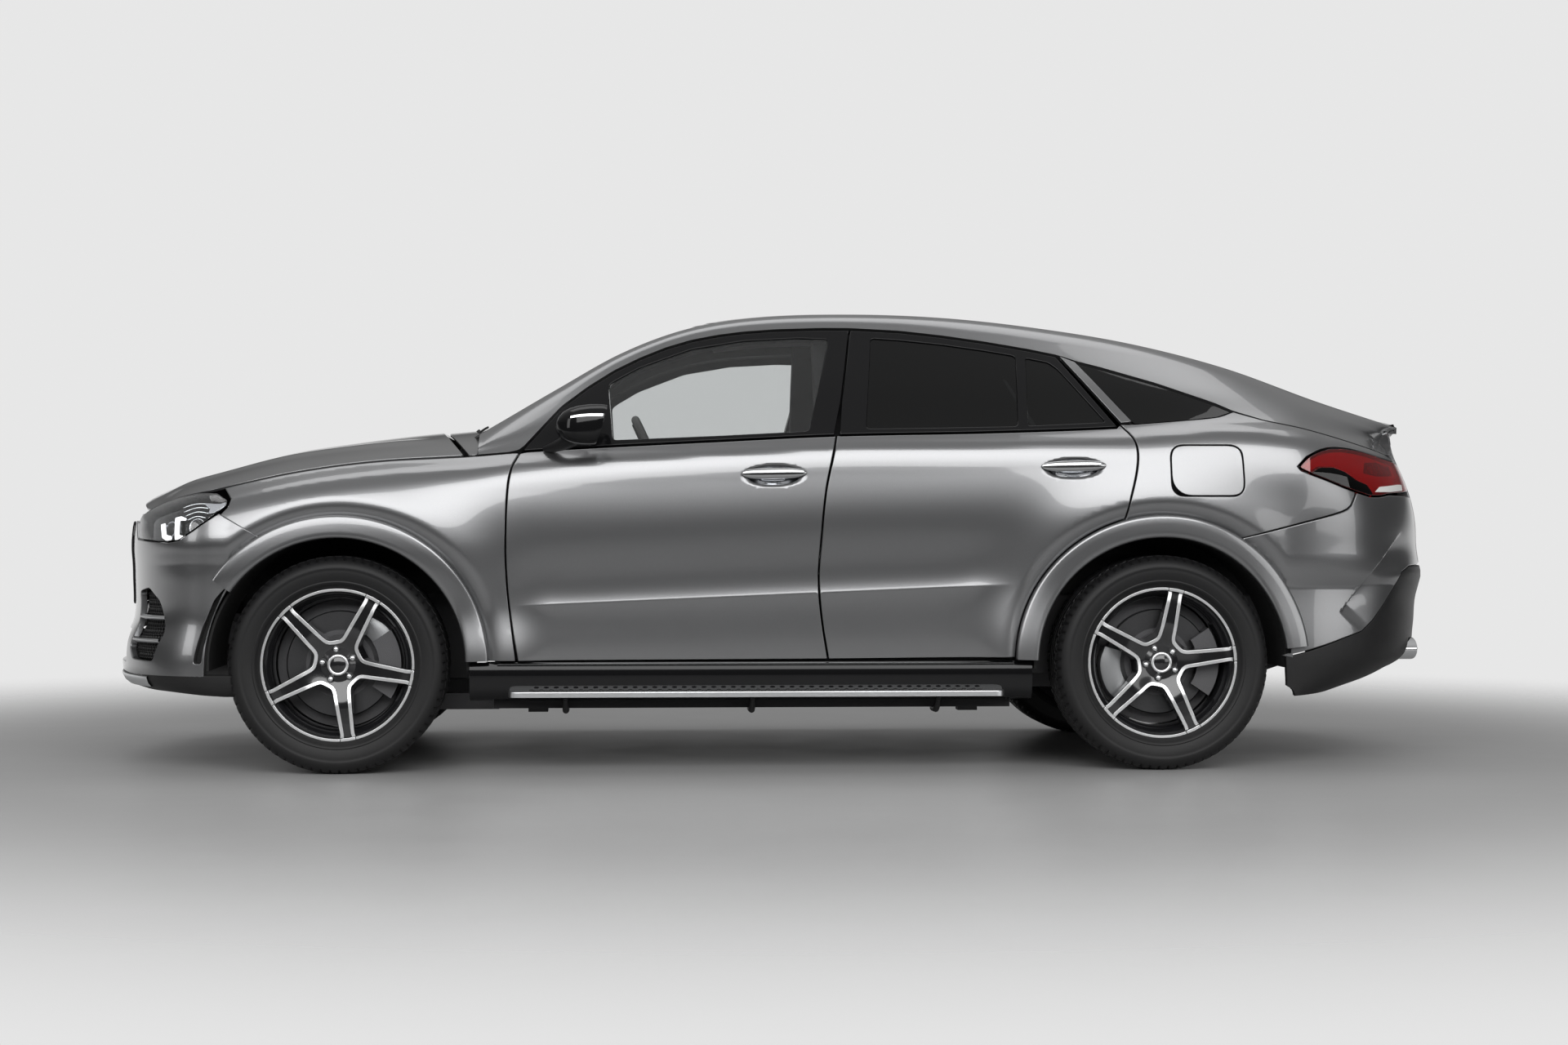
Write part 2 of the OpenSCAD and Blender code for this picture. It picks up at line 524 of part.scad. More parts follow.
module head_lamps() color("white") both() formed() intersection() {
    nose_slab(concat([-60], steps(0, 90, 12)), [800, 880, 940, 1004], 0, cover_t);
    across(flat(head_lamp), 300, 1100, 0);
}
module rear_shell(zs, a = 0, t = cover_t) tail_slab(tail_knots, zs, a, t);
module rear_bumper() color("gray") formed() difference() {
    rear_shell(rear_rows);
    both() arches(arch_r);
    both() across(concat(flat(bumper_line), [[at(3646), 1200], [at(3000), 1200], [at(3000), 830]]), 100, 1100, 0.5);
    both() across(flat(tail_lamp), 100, 1100, 1);
    both() across(concat(flat(valance_line), [[at(4200), 200], [at(3380), 200]]), -10, 1100, 0.5);
    box([at(3700), -gate_half - shut_gap, 728], [at(4200), gate_half + shut_gap, 1300]);
}
module rear_valance() color("black") formed() difference() {
    intersection() {
        rear_shell([262, 310, 345, 400, 500, 600, 690, 727]);
        union() both() across(concat(flat(valance_line), [[at(4200), 200], [at(3380), 200]]), -10, 1100);
    }
    both() arches(arch_r);
    box([at(3850), -plate_w / 2 - 2, 560 - plate_h / 2], [at(4200), plate_w / 2 + 2, 560 + plate_h / 2]);
    both() box([at(3800), 495.6, 375.6], [at(4200), 664.4, 460.4]);
    translate([at(4200), 380, 440]) rotate([0, 90, 0]) cylinder(r = tow_bore + 4, h = 400, $fn = 24);
}
module tail_lamps() color("red") both() formed() intersection() {
    tail_slab(steps(0, 90, 12), [970, 1040, 1100, 1165], 0, 60);
    across(flat(tail_lamp), gate_half + shut_gap, 1100, 0);
}
module rear_beam() color("dimgray") difference() {
    union() {
        box([at(3840.4), -480, 395], [at(3900), 480, 485]);
        translate([at(3985), 380, 440]) rotate([0, 90, 0]) cylinder(r = tow_bore / 2 + 9, h = at(3890) - at(3985));
    }
    translate([at(4000), 380, 440]) rotate([0, 90, 0]) cylinder(r = tow_bore / 2, h = 80);
}
module plate_holder() color("white") difference() {
    box([at(4014), -plate_w / 2, 560.4 - plate_h / 2], [at(4024), plate_w / 2, 559.6 + plate_h / 2]);
    for (s = [-1, 1]) translate([at(4040), s * plate_pitch / 2, 560]) rotate([0, 90, 0]) cylinder(r = 3, h = 60);
}
module exhaust() color("silver") both() difference() {
    translate([at(3990), 580, 418]) scale([1, 1, 0.5]) rotate([0, 90, 0]) cylinder(r = 84, h = 200, $fn = 64);
    translate([at(4000), 580, 418]) scale([1, 1, 0.5]) rotate([0, 90, 0]) cylinder(r = 76, h = 180, $fn = 64);
}
module sill_covers() color("black") both() translate([at(2385), 0, 0]) rotate([90, 0, 90])
    linear_extrude(at(545) - at(2385))
        polygon([[868.4, 258], [910, 258], [half(940), 300], [half(944), 388], [868.4, 388]]);
module running_boards() color("silver") both() hull()
    for (u = [1465 - board_l / 2 + 30, 1465 + board_l / 2 - 30])
        for (y = [half(940) + 20, half(940) + board_w - 60])
            translate([at(u), y, 270]) cylinder(r = y > half(940) + 20 ? 20 : 19, h = 22);
module board_brackets() color("black") both() for (u = [800, 1465, 2130]) {
    box([at(u - 30), 700, 205], [at(u + 30), half(940) + 40, 224.6]);
    box([at(u - 30), half(940) + 8, 215], [at(u + 30), half(940) + 40, 269.6]);
}
module jack_pads() color("black") both() for (u = [700, 2250])
    box([at(u - 35), 740, 208], [at(u + 35), 810, 224.7]);
module engine_block() color("dimgray") box([at(-320), -290, 300], [at(420), 290, 930]);
steer_at = [1120, 1116];
steer_y = 370;
hub_deep = 38;
column_l = 170;
module dashboard() color("dimgray") {
    translate([0, 639, 0]) rotate([90, 0, 0]) linear_extrude(1278)
        polygon([[at(600.4), 720], [at(600.4), 1079], [at(720), 1135], [at(900), 1130], [at(985), 1060],
            [at(1000), 940], [at(900), 800], [at(860), 720]]);
    box([at(860), -105, 430.4], [at(1960), 105, 640]);
    box([at(700), -105, 430.4], [at(870), 105, 730]);
    translate([at(steer_at[0]), steer_y, steer_at[1]]) rotate([0, -66, 0])
        translate([0, 0, -hub_deep - 0.4 - column_l]) cylinder(r = 40, h = column_l);
}
module steering_wheel() color("black") translate([at(steer_at[0]), steer_y, steer_at[1]]) rotate([0, -66, 0]) {
    rotate_extrude() translate([steer_d / 2 - 16, 0]) circle(r = 16);
    translate([0, 0, -hub_deep]) cylinder(r = 62, h = hub_deep + 2);
    translate([0, 0, -26]) linear_extrude(20) for (a = [0, 180, -90])
        rotate(a + 90) translate([-17, 0]) square([34, steer_d / 2 - 16]);
}
module seats() color("saddlebrown") {
    both() {
        hull() {
            translate([at(1240), 370, 560]) cube([90, seat_w - 40, 130], center = true);
            translate([at(1660), 370, 530]) cube([160, seat_w, 150], center = true);
        }
        hull() {
            translate([at(1710), 370, 600]) cube([120, seat_w, 100], center = true);
            translate([at(1900), 370, 1140]) cube([90, seat_w - 90, 120], center = true);
        }
        translate([at(1915), 370, 1280]) cube([90, 270, 160], center = true);
        box([at(1250), 180, 285.4], [at(1700), 560, 500]);
    }
    hull() {
        box([at(2150), -bench_half, 560.4], [at(2560), bench_half, 660]);
        box([at(2180), 15 - bench_half, 640], [at(2500), bench_half - 15, 690]);
    }
    hull() {
        box([at(2560), -bench_half, 570], [at(2680), bench_half, 690]);
        box([at(2700), 5 - bench_half, 1100], [at(2780), bench_half - 5, 1180]);
    }
    for (y = [-370, 0, 370]) translate([at(2750), y, 1230]) cube([80, 250, 130], center = true);
}

module hood_slab() {
    function edge(f) = -690 - 100 * sqrt(max(0, 1 - f * f));
    function grid(d) = [for (r = steps(0, 1, 10)) [for (f = steps(1, -1, 12))
        let (u = edge(f) * (1 - r) + (440 - shut_gap - 116 * (1 - f * f)) * r)
        let (y = f * (half(curve(shoulder, u, 2)) - 14 - shut_gap))
        [at(u), y, hood_z(u, y) - d]]];
    shell(grid(0), grid(lid_t));
}
module hood() color("gray") formed() union() {
    hood_slab();
    both() translate([at(hood_hinge[0]), hood_hinge_y, level(hood_hinge[1])]) rotate([90, 0, 0]) difference() {
        union() {
            cylinder(r = pin_r + 4, h = 18, center = true, $fn = 24);
            translate([0, -9, -9]) cube([84, 20, 18]);
            translate([62, -9, -9]) cube([22, 50, 18]);
        }
        cylinder(r = pin_r + 0.4, h = 30, center = true, $fn = 24);
    }
}
module gate_window(g) translate([0, 0, 1100]) linear_extrude(600) offset(delta = g)
    polygon([for (f = [1, -1]) for (u = f > 0 ? [3010, 3560] : [3560, 3010])
        [at(u), f * (half(curve(rail, u, 2)) - frame_t - shut_gap - 62)]]);
module gate_room() both() translate([at(gate_hinge[0]) - pin_r - 10, gate_hinge_y - 42, level(gate_hinge[1]) - 90])
    cube([80, 84, 90 + pin_r + 4]);
module liftgate() color("gray") formed() union() {
    difference() {
        top_slab(2925 + shut_gap, 24, 3925, -12, 9, frame_t + shut_gap, 0, lid_t + 10);
        gate_window(0);
        gate_room();
    }
    intersection() {
        tail_slab(steps(24, 90, 8), [735, 800, 880, 960, 1040, 1150, 1238], 0, 60);
        box([at(3808), -gate_half, 700], [at(4200), gate_half, 1300]);
    }
    both() translate([at(gate_hinge[0]), gate_hinge_y, level(gate_hinge[1])]) rotate([90, 0, 0]) difference() {
        union() {
            cylinder(r = pin_r + 4, h = 46, center = true, $fn = 24);
            translate([-38, -pin_r - 4, -23]) cube([38, 2 * pin_r + 8, 46]);
        }
        cylinder(r = pin_r + 0.4, h = 60, center = true, $fn = 24);
    }
}
module rear_window() color("black") formed() intersection() {
    top_slab(2960, 0, 3600, 0, 5, 60, 5, glass_t);
    gate_window(-0.8);
}

module tyre() {
    w = tyre_w / 2;
    r = tyre_d / 2;
    b = rim_w / 2;
    rotate_extrude() polygon([[rim_d / 2 - 17, -b + 17], [rim_d / 2 + 2, -b + 14], [rim_d / 2 + 12, -w + 12],
        [rim_d / 2 + 40, -w + 2], [r - 50, -w],
        [r - 22, -w + 8], [r - 6, -w + 24], [r, -w + 46], [r, w - 46], [r - 6, w - 24], [r - 22, w - 8], [r - 50, w],
        [rim_d / 2 + 40, w - 2], [rim_d / 2 + 12, w - 12], [rim_d / 2 + 2, b - 14], [rim_d / 2 - 17, b - 17]]);
}
module rim() {
    b = rim_w / 2;
    r = rim_d / 2;
    difference() {
        union() {
            rotate_extrude() polygon([[r - 30, -b], [r, -b], [r - 1, -b + 7], [r - 17.4, -b + 12],
                [r - 17.4, b - 12], [r - 1, b - 7],
                [r, b], [r - 14, b], [r - 30, b - 20]]);
            translate([0, 0, b - 50]) linear_extrude(34) for (i = [0 : spokes - 1]) rotate(360 * i / spokes)
                polygon([[40, -30], [40, 30], [r - 24, 34], [r - 24, -34]]);
            translate([0, 0, b - 108]) cylinder(r = 72, h = 96);
            translate([0, 0, b - 140]) cylinder(r = disc_d / 2, h = 32);
        }
        translate([0, 0, b - 150]) cylinder(r = spindle_r + 0.4, h = 75);
    }
}
// Upright with its spindle, brake caliper and arm, wheel axis along Z, outer side up
module upright(back) {
    b = rim_w / 2;
    difference() {
        union() {
            translate([0, 0, b - 210]) cylinder(r = spindle_r, h = 132);
            translate([-170, -34, b - 206]) cube([204, 68, 44]);
            translate([-40, -165, b - 206]) cube([80, 330, 44]);
            rotate(180 - 34) rotate_extrude(angle = 68) translate([0, b - 168])
                polygon([[110, 0], [disc_d / 2 + 28, 0], [disc_d / 2 + 28, 92], [disc_d / 2 - 50, 92],
                    [disc_d / 2 - 50, 66],
                    [disc_d / 2 + 6, 66], [disc_d / 2 + 6, 22], [110, 22]]);
        }
        if (!back) translate([0, 300, b - 184]) rotate([90, 0, 0]) cylinder(r = 12.4, h = 600);
    }
}
module on_axle(x, y) translate([x, y, axle_z]) rotate([-90, 0, 0]) children();
module front_subframe() color("dimgray") {
    kz = rim_w / 2 - 184;
    both() {
        bar_y(front_axle_x, 300, front_y + kz + 20, axle_z - 190, 20);
        bar_z(front_axle_x, front_y + kz, axle_z - 190, axle_z - 120, 12);
        bar_y(front_axle_x, 470, front_y + kz + 20, axle_z + 190, 16);
        bar_z(front_axle_x, front_y + kz, axle_z + 120, axle_z + 190, 12);
        box([at(-200), 410, 195], [at(544.6), 474, 255]);
        box([at(-30), 420, 195], [at(30), 474, axle_z + 230]);
    }
    box([at(-60), -420, 175], [at(60), 420, 215]);
    box([at(180), -420, 215], [at(260), 420, 255]);
    box([at(-60), -100, 215], [at(60), 100, 299.6]);
    both() box([at(-700), 410, 440], [at(-200), 470, 520]);
    both() box([at(-260), 410, 195], [at(-200), 470, 520]);
    box([at(-730), -470, 430], [at(-690), 470, 530]);
}
module rear_subframe() color("dimgray") {
    k = rim_w / 2 - 184;
    both() {
        on_axle(rear_axle_x, rear_y) upright(true);
        bar_y(rear_axle_x, 400, rear_y + k - 21, axle_z - 110, 22);
        bar_y(rear_axle_x, 400, rear_y + k - 21, axle_z + 60, 18);
        box([at(2500), 380, 270], [at(3300), 440, 480]);
        box([at(2500), 380, 270], [at(2560), 440, 519.6]);
        box([at(3240), 380, 270], [at(3300), 440, 519.6]);
    }
    box([at(2600), -400, 280], [at(2680), 400, 340]);
    box([at(3120), -400, 280], [at(3200), 400, 340]);
}
module front_door_left() color("gray") front_door();
module front_door_right() color("gray") mirror([0, 1, 0]) front_door();
module rear_door_left() color("gray") rear_door();
module rear_door_right() color("gray") mirror([0, 1, 0]) rear_door();
module front_glass_left() color("lightblue") pane(steps(900, 1800, 6), [front_window]);
module front_glass_right() color("lightblue") mirror([0, 1, 0]) front_glass_left();
module rear_glass_left() color("black") pane(steps(1850, 2790, 6), [rear_window_main, rear_window_fixed]);
module rear_glass_right() color("black") mirror([0, 1, 0]) rear_glass_left();
module front_handle_left() color("silver") handle(1540, 1055);
module front_handle_right() color("silver") mirror([0, 1, 0]) handle(1540, 1055);
module rear_handle_left() color("silver") handle(2613, 1082);
module rear_handle_right() color("silver") mirror([0, 1, 0]) handle(2613, 1082);
module mirror_left() color("black") mirror_head();
module mirror_right() color("black") mirror([0, 1, 0]) mirror_head();
module front_knuckle_left() color("dimgray") on_axle(front_axle_x, front_y) upright(false);
module front_knuckle_right() color("dimgray") mirror([0, 1, 0]) on_axle(front_axle_x, front_y) upright(false);
module front_rim_left() color("silver") on_axle(front_axle_x, front_y) rim();
module front_rim_right() color("silver") mirror([0, 1, 0]) on_axle(front_axle_x, front_y) rim();
module rear_rim_left() color("silver") on_axle(rear_axle_x, rear_y) rim();
module rear_rim_right() color("silver") mirror([0, 1, 0]) on_axle(rear_axle_x, rear_y) rim();
module front_tyre_left() color("black") on_axle(front_axle_x, front_y) tyre();
module front_tyre_right() color("black") on_axle(front_axle_x, -front_y) tyre();
module rear_tyre_left() color("black") on_axle(rear_axle_x, rear_y) tyre();
module rear_tyre_right() color("black") on_axle(rear_axle_x, -rear_y) tyre();

floor_pan();
hinge_pins();
body_sides();
roof_panel();
windscreen();
quarter_glass();
front_fenders();
arch_flares();
wheel_liners();
cowl();
front_bumper();
grille();
head_lamps();
rear_bumper();
rear_valance();
rear_beam();
plate_holder();
exhaust();
tail_lamps();
sill_covers();
running_boards();
board_brackets();
jack_pads();
engine_block();
front_subframe();
rear_subframe();
dashboard();
seats();
hood();
liftgate();
rear_window();
fuel_flap();
steering_wheel();
front_door_left();
front_door_right();
rear_door_left();
rear_door_right();
front_glass_left();
front_glass_right();
rear_glass_left();
rear_glass_right();
front_handle_left();
front_handle_right();
rear_handle_left();
rear_handle_right();
mirror_left();
mirror_right();
front_knuckle_left();
front_knuckle_right();
front_rim_left();
front_rim_right();
rear_rim_left();
rear_rim_right();
front_tyre_left();
front_tyre_right();
rear_tyre_left();
rear_tyre_right();
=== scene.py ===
"""Coupe-roofed sport utility vehicle: painted panels, glass, lamps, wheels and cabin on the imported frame."""

import bpy
import json
import functools
import math
import numpy as np
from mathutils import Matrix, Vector
from mathutils.geometry import delaunay_2d_cdt

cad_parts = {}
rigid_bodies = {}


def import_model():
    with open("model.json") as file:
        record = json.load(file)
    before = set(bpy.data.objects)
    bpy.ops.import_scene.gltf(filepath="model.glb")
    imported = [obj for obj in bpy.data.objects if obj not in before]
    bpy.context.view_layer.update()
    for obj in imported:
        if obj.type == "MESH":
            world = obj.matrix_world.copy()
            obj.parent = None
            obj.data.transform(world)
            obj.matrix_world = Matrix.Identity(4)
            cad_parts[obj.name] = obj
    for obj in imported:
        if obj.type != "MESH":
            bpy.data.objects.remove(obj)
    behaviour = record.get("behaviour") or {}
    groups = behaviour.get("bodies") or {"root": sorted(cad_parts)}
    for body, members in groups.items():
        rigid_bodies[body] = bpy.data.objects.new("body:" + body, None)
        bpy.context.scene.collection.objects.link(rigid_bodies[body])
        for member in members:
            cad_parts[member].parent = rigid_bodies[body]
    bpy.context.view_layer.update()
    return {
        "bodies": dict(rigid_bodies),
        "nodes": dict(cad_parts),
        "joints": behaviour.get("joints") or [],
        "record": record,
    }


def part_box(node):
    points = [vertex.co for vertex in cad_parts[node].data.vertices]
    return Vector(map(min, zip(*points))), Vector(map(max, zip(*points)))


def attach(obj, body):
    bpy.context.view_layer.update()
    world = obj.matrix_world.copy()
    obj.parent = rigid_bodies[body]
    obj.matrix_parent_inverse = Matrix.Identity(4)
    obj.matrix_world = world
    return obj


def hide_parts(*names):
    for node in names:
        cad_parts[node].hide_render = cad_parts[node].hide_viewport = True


bl_info = {
    "name": "Coupe Sport Utility Vehicle",
    "version": (1, 0, 0),
    "blender": (4, 5, 0),
    "location": "View3D > Sidebar > Vehicle",
    "description": "Dresses the packed vehicle frame with panels, glass, lamps, wheels and a cabin",
    "category": "Object",
}

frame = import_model()
JOINT = {j["name"]: j for j in frame["joints"]}
FRONT_X = JOINT["front_left_spin"]["pos_m"][0] * 1000
REAR_X = JOINT["rear_left_spin"]["pos_m"][0] * 1000
AXLE_Z = JOINT["front_left_spin"]["pos_m"][2] * 1000
BASE = FRONT_X - REAR_X
ARCH_R = 462
FLARE_R = 528
GAP = 6.0
# Stations of the roof's front edge and the liftgate's two ends, and the rail's width on the roof
ROOF_FRONT, GATE_TOP, GATE_END, RAIL_EDGE = 1336, 2925, 3908, 45

# Lines plan in millimetres: [station behind the front axle, height, half width]
SHOULDER = np.array([
    [-800, 900, 600], [-690, 935, 670], [-593, 972, 762], [-452, 1003, 840], [-163, 1067, 852],
    [116, 1106, 846],
    [451, 1126, 850], [640, 1141, 872], [970, 1160, 895], [1344, 1179, 903], [1776, 1200, 906],
    [2311, 1212, 900],
    [2823, 1233, 885], [3173, 1265, 852], [3450, 1250, 828], [3700, 1205, 800], [3950, 1180, 770]], float)
RAIL = np.array([
    [400, 1150, 800], [520, 1222, 770], [760, 1366, 728], [1000, 1503, 692], [1240, 1594, 662],
    [1500, 1638, 642],
    [1850, 1651, 630], [2200, 1640, 621], [2550, 1604, 613], [2900, 1548, 607], [3250, 1460, 604],
    [3600, 1336, 602], [3900, 1240, 596]], float)
CREST = np.array([
    [-812, 930], [-790, 962], [-740, 1002], [-600, 1056], [-475, 1090], [-236, 1156], [-28, 1190],
    [212, 1221],
    [480, 1248]], float)
WAIST = np.array([
    [-700, 962], [0, 960], [600, 958], [1300, 959], [2200, 962], [2935, 967], [3400, 960], [4000, 948]],
    float)
# Nose and tail along the middle: [height, distance from the near axle]
NOSE = np.array([
    [200, 560], [250, 720], [300, 838], [340, 872], [450, 868], [545, 830], [700, 826], [800, 830],
    [880, 824],
    [940, 804], [1000, 720], [1060, 640]], float)
TAIL = np.array([
    [250, 640], [310, 880], [345, 975], [400, 1072], [500, 1098], [600, 1108], [690, 1132], [730, 1124],
    [800, 1112], [880, 1108], [960, 1092], [1040, 1062], [1150, 1012], [1240, 1006]], float)
NOSE_START, NOSE_BEND = -380, 2 / 2.4
TAIL_START, TAIL_BEND = 3385, 2 / 2.6
WRAP = 13.0
TURN = 90 * WRAP

# Outlines in side view: [station, height]
WINDOW_TOP = [
    (783, 1303), (876, 1374), (969, 1434), (1064, 1482), (1158, 1521), (1253, 1550), (1348, 1569),
    (1444, 1582),
    (1560, 1591), (1727, 1597), (1834, 1597), (2017, 1588), (2173, 1571), (2329, 1549), (2482, 1523),
    (2592, 1501)]
DOOR_FRONT = [(633, 395), (616, 485), (599, 615), (590, 744), (589, 831), (595, 998), (608, 1079),
    (636, 1137)]
DOOR_SPLIT = [
    (1735, 398), (1712, 540), (1700, 685), (1709, 830), (1726, 1002), (1753, 1132), (1767, 1202),
    (1788, 1321),
    (1811, 1461), (1827, 1563), (1834, 1597)]
DOOR_REAR = [(2797, 898), (2815, 973), (2836, 1053), (2846, 1114), (2844, 1164), (2827, 1205), (2794, 1243)]
FRONT_PANE = [
    (967, 1184), (1344, 1200), (1668, 1217), (1715, 1400), (1752, 1560), (1640, 1563), (1444, 1552),
    (1253, 1520),
    (1064, 1451), (972, 1400), (950, 1384)]
REAR_PANE = [
    (1874, 1226), (2120, 1230), (2424, 1236), (2440, 1500), (2329, 1519), (2173, 1541), (2017, 1557),
    (1908, 1564)]
FIXED_PANE = [(2460, 1238), (2745, 1252), (2590, 1452), (2560, 1476), (2476, 1493)]
QUARTER_PANE = [
    (2668, 1472), (2742, 1455), (2951, 1394), (3160, 1318), (3215, 1294), (3160, 1276), (3029, 1262),
    (2850, 1247)]
HEAD_LAMP = [
    (-740, 905), (-690, 935), (-593, 973), (-500, 994), (-425, 994), (-380, 968), (-387, 947), (-437, 906),
    (-500, 862), (-555, 826), (-606, 818), (-740, 830)]
TAIL_LAMP = [
    (3431, 1090), (3464, 1122), (3508, 1144), (3552, 1155), (3604, 1156), (3674, 1147), (3790, 1121),
    (3796, 993),
    (3750, 985), (3706, 985), (3650, 1000), (3597, 1019), (3530, 1045), (3468, 1068), (3440, 1080)]
BUMPER_LINE = [(3222, 830), (3281, 846), (3433, 884), (3585, 924), (3624, 944), (3646, 986)]
VALANCE_LINE = [
    (3380, 410), (3599, 469), (3677, 495), (3722, 531), (3782, 598), (3860, 705), (3900, 727)]
SLASH = [(3599, 579), (3824, 824)]
SLASH_DEPTH, COVE = 21, 22.0
FUEL_LID = [
    (2990, 985), (3205, 985), (3228, 1010), (3222, 1142), (3195, 1164), (2990, 1164), (2966, 1140),
    (2966, 1008)]


# Surfaces


def chain(*parts):
    """Arrays or lists of points one after another."""
    return np.concatenate(parts)


def columns(*parts):
    """Arrays side by side as columns."""
    return np.column_stack(parts)


def smooth(x, y, p):
    """Cubic curve through the knots x, y, one row of knots for all of p or one for each."""
    p = np.asarray(p, float)
    x = np.broadcast_to(x, (len(p), np.shape(x)[-1]))
    y = np.broadcast_to(y, (len(p), np.shape(y)[-1]))
    i = np.clip((x[:, 1:-1] <= p[:, None]).sum(1), 0, x.shape[1] - 2)
    s = np.empty(y.shape)
    s[:, 1:-1] = (y[:, 2:] - y[:, :-2]) / (x[:, 2:] - x[:, :-2])
    s[:, 0] = (y[:, 1] - y[:, 0]) / (x[:, 1] - x[:, 0])
    s[:, -1] = (y[:, -1] - y[:, -2]) / (x[:, -1] - x[:, -2])
    r = np.arange(len(p))
    a, b, w = y[r, i], y[r, i + 1], x[r, i + 1] - x[r, i]
    f = np.clip((p - x[r, i]) / w, 0, 1)
    m, n = s[r, i] * w, s[r, i + 1] * w
    return a + f * (m + f * (3 * (b - a) - 2 * m - n + f * (2 * (a - b) + m + n)))


def read(table, p, k=1):
    """Column k of a lines-plan table at the places p."""
    return smooth(table[:, 0], table[:, k], p)


def step_up(x, a, b):
    """Smooth step from 0 at a to 1 at b."""
    f = np.clip((np.asarray(x, float) - a) / (b - a), 0, 1)
    return f * f * (3 - 2 * f)


def round_off(t, e):
    """Plan rounding: 1 at t = 0, 0 at t = 1."""
    return np.maximum(0, 1 - np.clip(t, 0, 1) ** (2 / e)) ** (e / 2)


def narrow(u, z):
    """Share of the half width that is left toward the nose and the tail."""
    front = round_off((u - NOSE_START) / (-read(NOSE, z) - NOSE_START), NOSE_BEND)
    rear = round_off((u - TAIL_START) / (BASE + read(TAIL, z) - TAIL_START), TAIL_BEND)
    return np.where(u < NOSE_START, front, np.where(u > TAIL_START, rear, 1))


def section(u):
    """Heights and half widths of the body side at each station, from the sill to the roof rail."""
    tz, ty, w = read(SHOULDER, u, 1), read(SHOULDER, u, 2), read(WAIST, u)
    rz, ry, cz = read(RAIL, u, 1), read(RAIL, u, 2), 590 + 0.042 * (u - 620)
    z = np.stack([150 + 0 * u, 390 + 0 * u, cz, tz - 300, tz - 150, tz - 55, tz], 1)
    y = np.stack([w - 40, w - 13, w - 27, w, w - 4, ty + 0.68 * (w - ty), ty], 1)
    y = y * np.stack([narrow(u, z[:, k]) for k in range(7)], 1)
    z = columns(z, (tz + rz) / 2, rz)
    return z, columns(y, (y[:, 6] + ry) / 2 + 16, ry)


def swell(u, z):
    """How far the side stands out round the wheel arches, with a cove along the flares."""
    r = np.maximum(0, np.minimum(np.hypot(u, z - AXLE_Z), np.hypot(u - BASE, z - AXLE_Z)) - FLARE_R)
    return 28 * np.exp(-(r / 150) ** 2) - COVE * np.clip(1 - r / 68, 0, 1) ** 2


def oval(u, z, spot):
    """Distance from the middle of an oval spot, 1 at its rim."""
    cu, cz, ru, rz, lean = spot
    return np.hypot((u - cu) / ru, (z - cz - lean * (u - cu)) / rz)


HANDLES = {"front": (1540, 1055, 122, 44, 0.018), "rear": (2613, 1082, 120, 42, 0.02)}


def crease_z(u):
    """Height of the low crease along the doors."""
    return 592 + 0.042 * (u - 620)


def side_y(u, z):
    """Half width of the painted side, with the low door crease and the cups behind the handles."""
    knots, widths = section(u)
    y = smooth(knots, widths, z) + swell(u, z)
    fade = step_up(u, 600, 760) * step_up(u, 2420, 2240)
    rise = z - crease_z(u)
    y = y + fade * np.where(rise > 0, 13 * np.exp(-np.maximum(rise, 0) / 66), 13 + 0.13 * rise)
    for spot in HANDLES.values():
        y = y - 17 * step_up(oval(u, z, spot), 1, 0.45)
    return y


def side(u, z):
    """Left body side."""
    return np.stack([FRONT_X - u, side_y(u, z), z], 1)


def top(u, y):
    """Roof and windscreen."""
    ry = read(RAIL, u, 2)
    return np.stack([FRONT_X - u, y, read(RAIL, u, 1) + 38 * (1 - (y / ry) ** 2)], 1)


def bonnet(u, y):
    """Hood with two soft ridges."""
    e, ty = read(SHOULDER, u, 1), read(SHOULDER, u, 2)
    z = e + (read(CREST, u) - e) * (1 - np.abs(y / ty) ** 2.3)
    ridge = np.abs(y) - (430 + 0.12 * (u + 700))
    z = z + 7 * np.exp(-(ridge / 60) ** 2) * step_up(u, -760, -560) * step_up(u, 400, 150)
    return np.stack([FRONT_X - u, y, z], 1)


def wrap(t, z, start, bend, run, way):
    """Station, half width and turn of a wrap that starts at a station; way is -1 ahead and 1 behind."""
    q = TURN - np.abs(t)
    w = np.radians(np.clip(q / WRAP, 0, 90))
    along = start - way * np.maximum(0, -q)
    u = np.where(q > 0, start + way * run * np.sin(w) ** bend, along)
    return u, side_y(along, z) * np.cos(w) ** bend, w


def nose(t, z):
    """Wrap round the nose: t runs from the right side over the middle, 0, to the left side."""
    u, y, _ = wrap(t, z, NOSE_START, NOSE_BEND, read(NOSE, z) + NOSE_START, -1)
    return np.stack([FRONT_X - u, np.sign(t) * y, z], 1)


def tail(t, z):
    """Wrap round the tail like the nose, with the slash pressed into the bumper's corner."""
    u, y, w = wrap(t, z, TAIL_START, TAIL_BEND, BASE + read(TAIL, z) - TAIL_START, 1)
    length = math.dist(*SLASH)
    du, dz = (SLASH[1][0] - SLASH[0][0]) / length, (SLASH[1][1] - SLASH[0][1]) / length
    off = (u - SLASH[0][0]) * dz - (z - SLASH[0][1]) * du
    on = (u - SLASH[0][0]) * du + (z - SLASH[0][1]) * dz
    across = step_up(off, -1, 8) * step_up(off, 150, 10)
    cut = SLASH_DEPTH * across * step_up(on, -26, 30) * step_up(on, length + 50, length - 70)
    return np.stack([FRONT_X - u + cut * np.sin(w), np.sign(t) * (y - cut * np.cos(w)), z], 1)


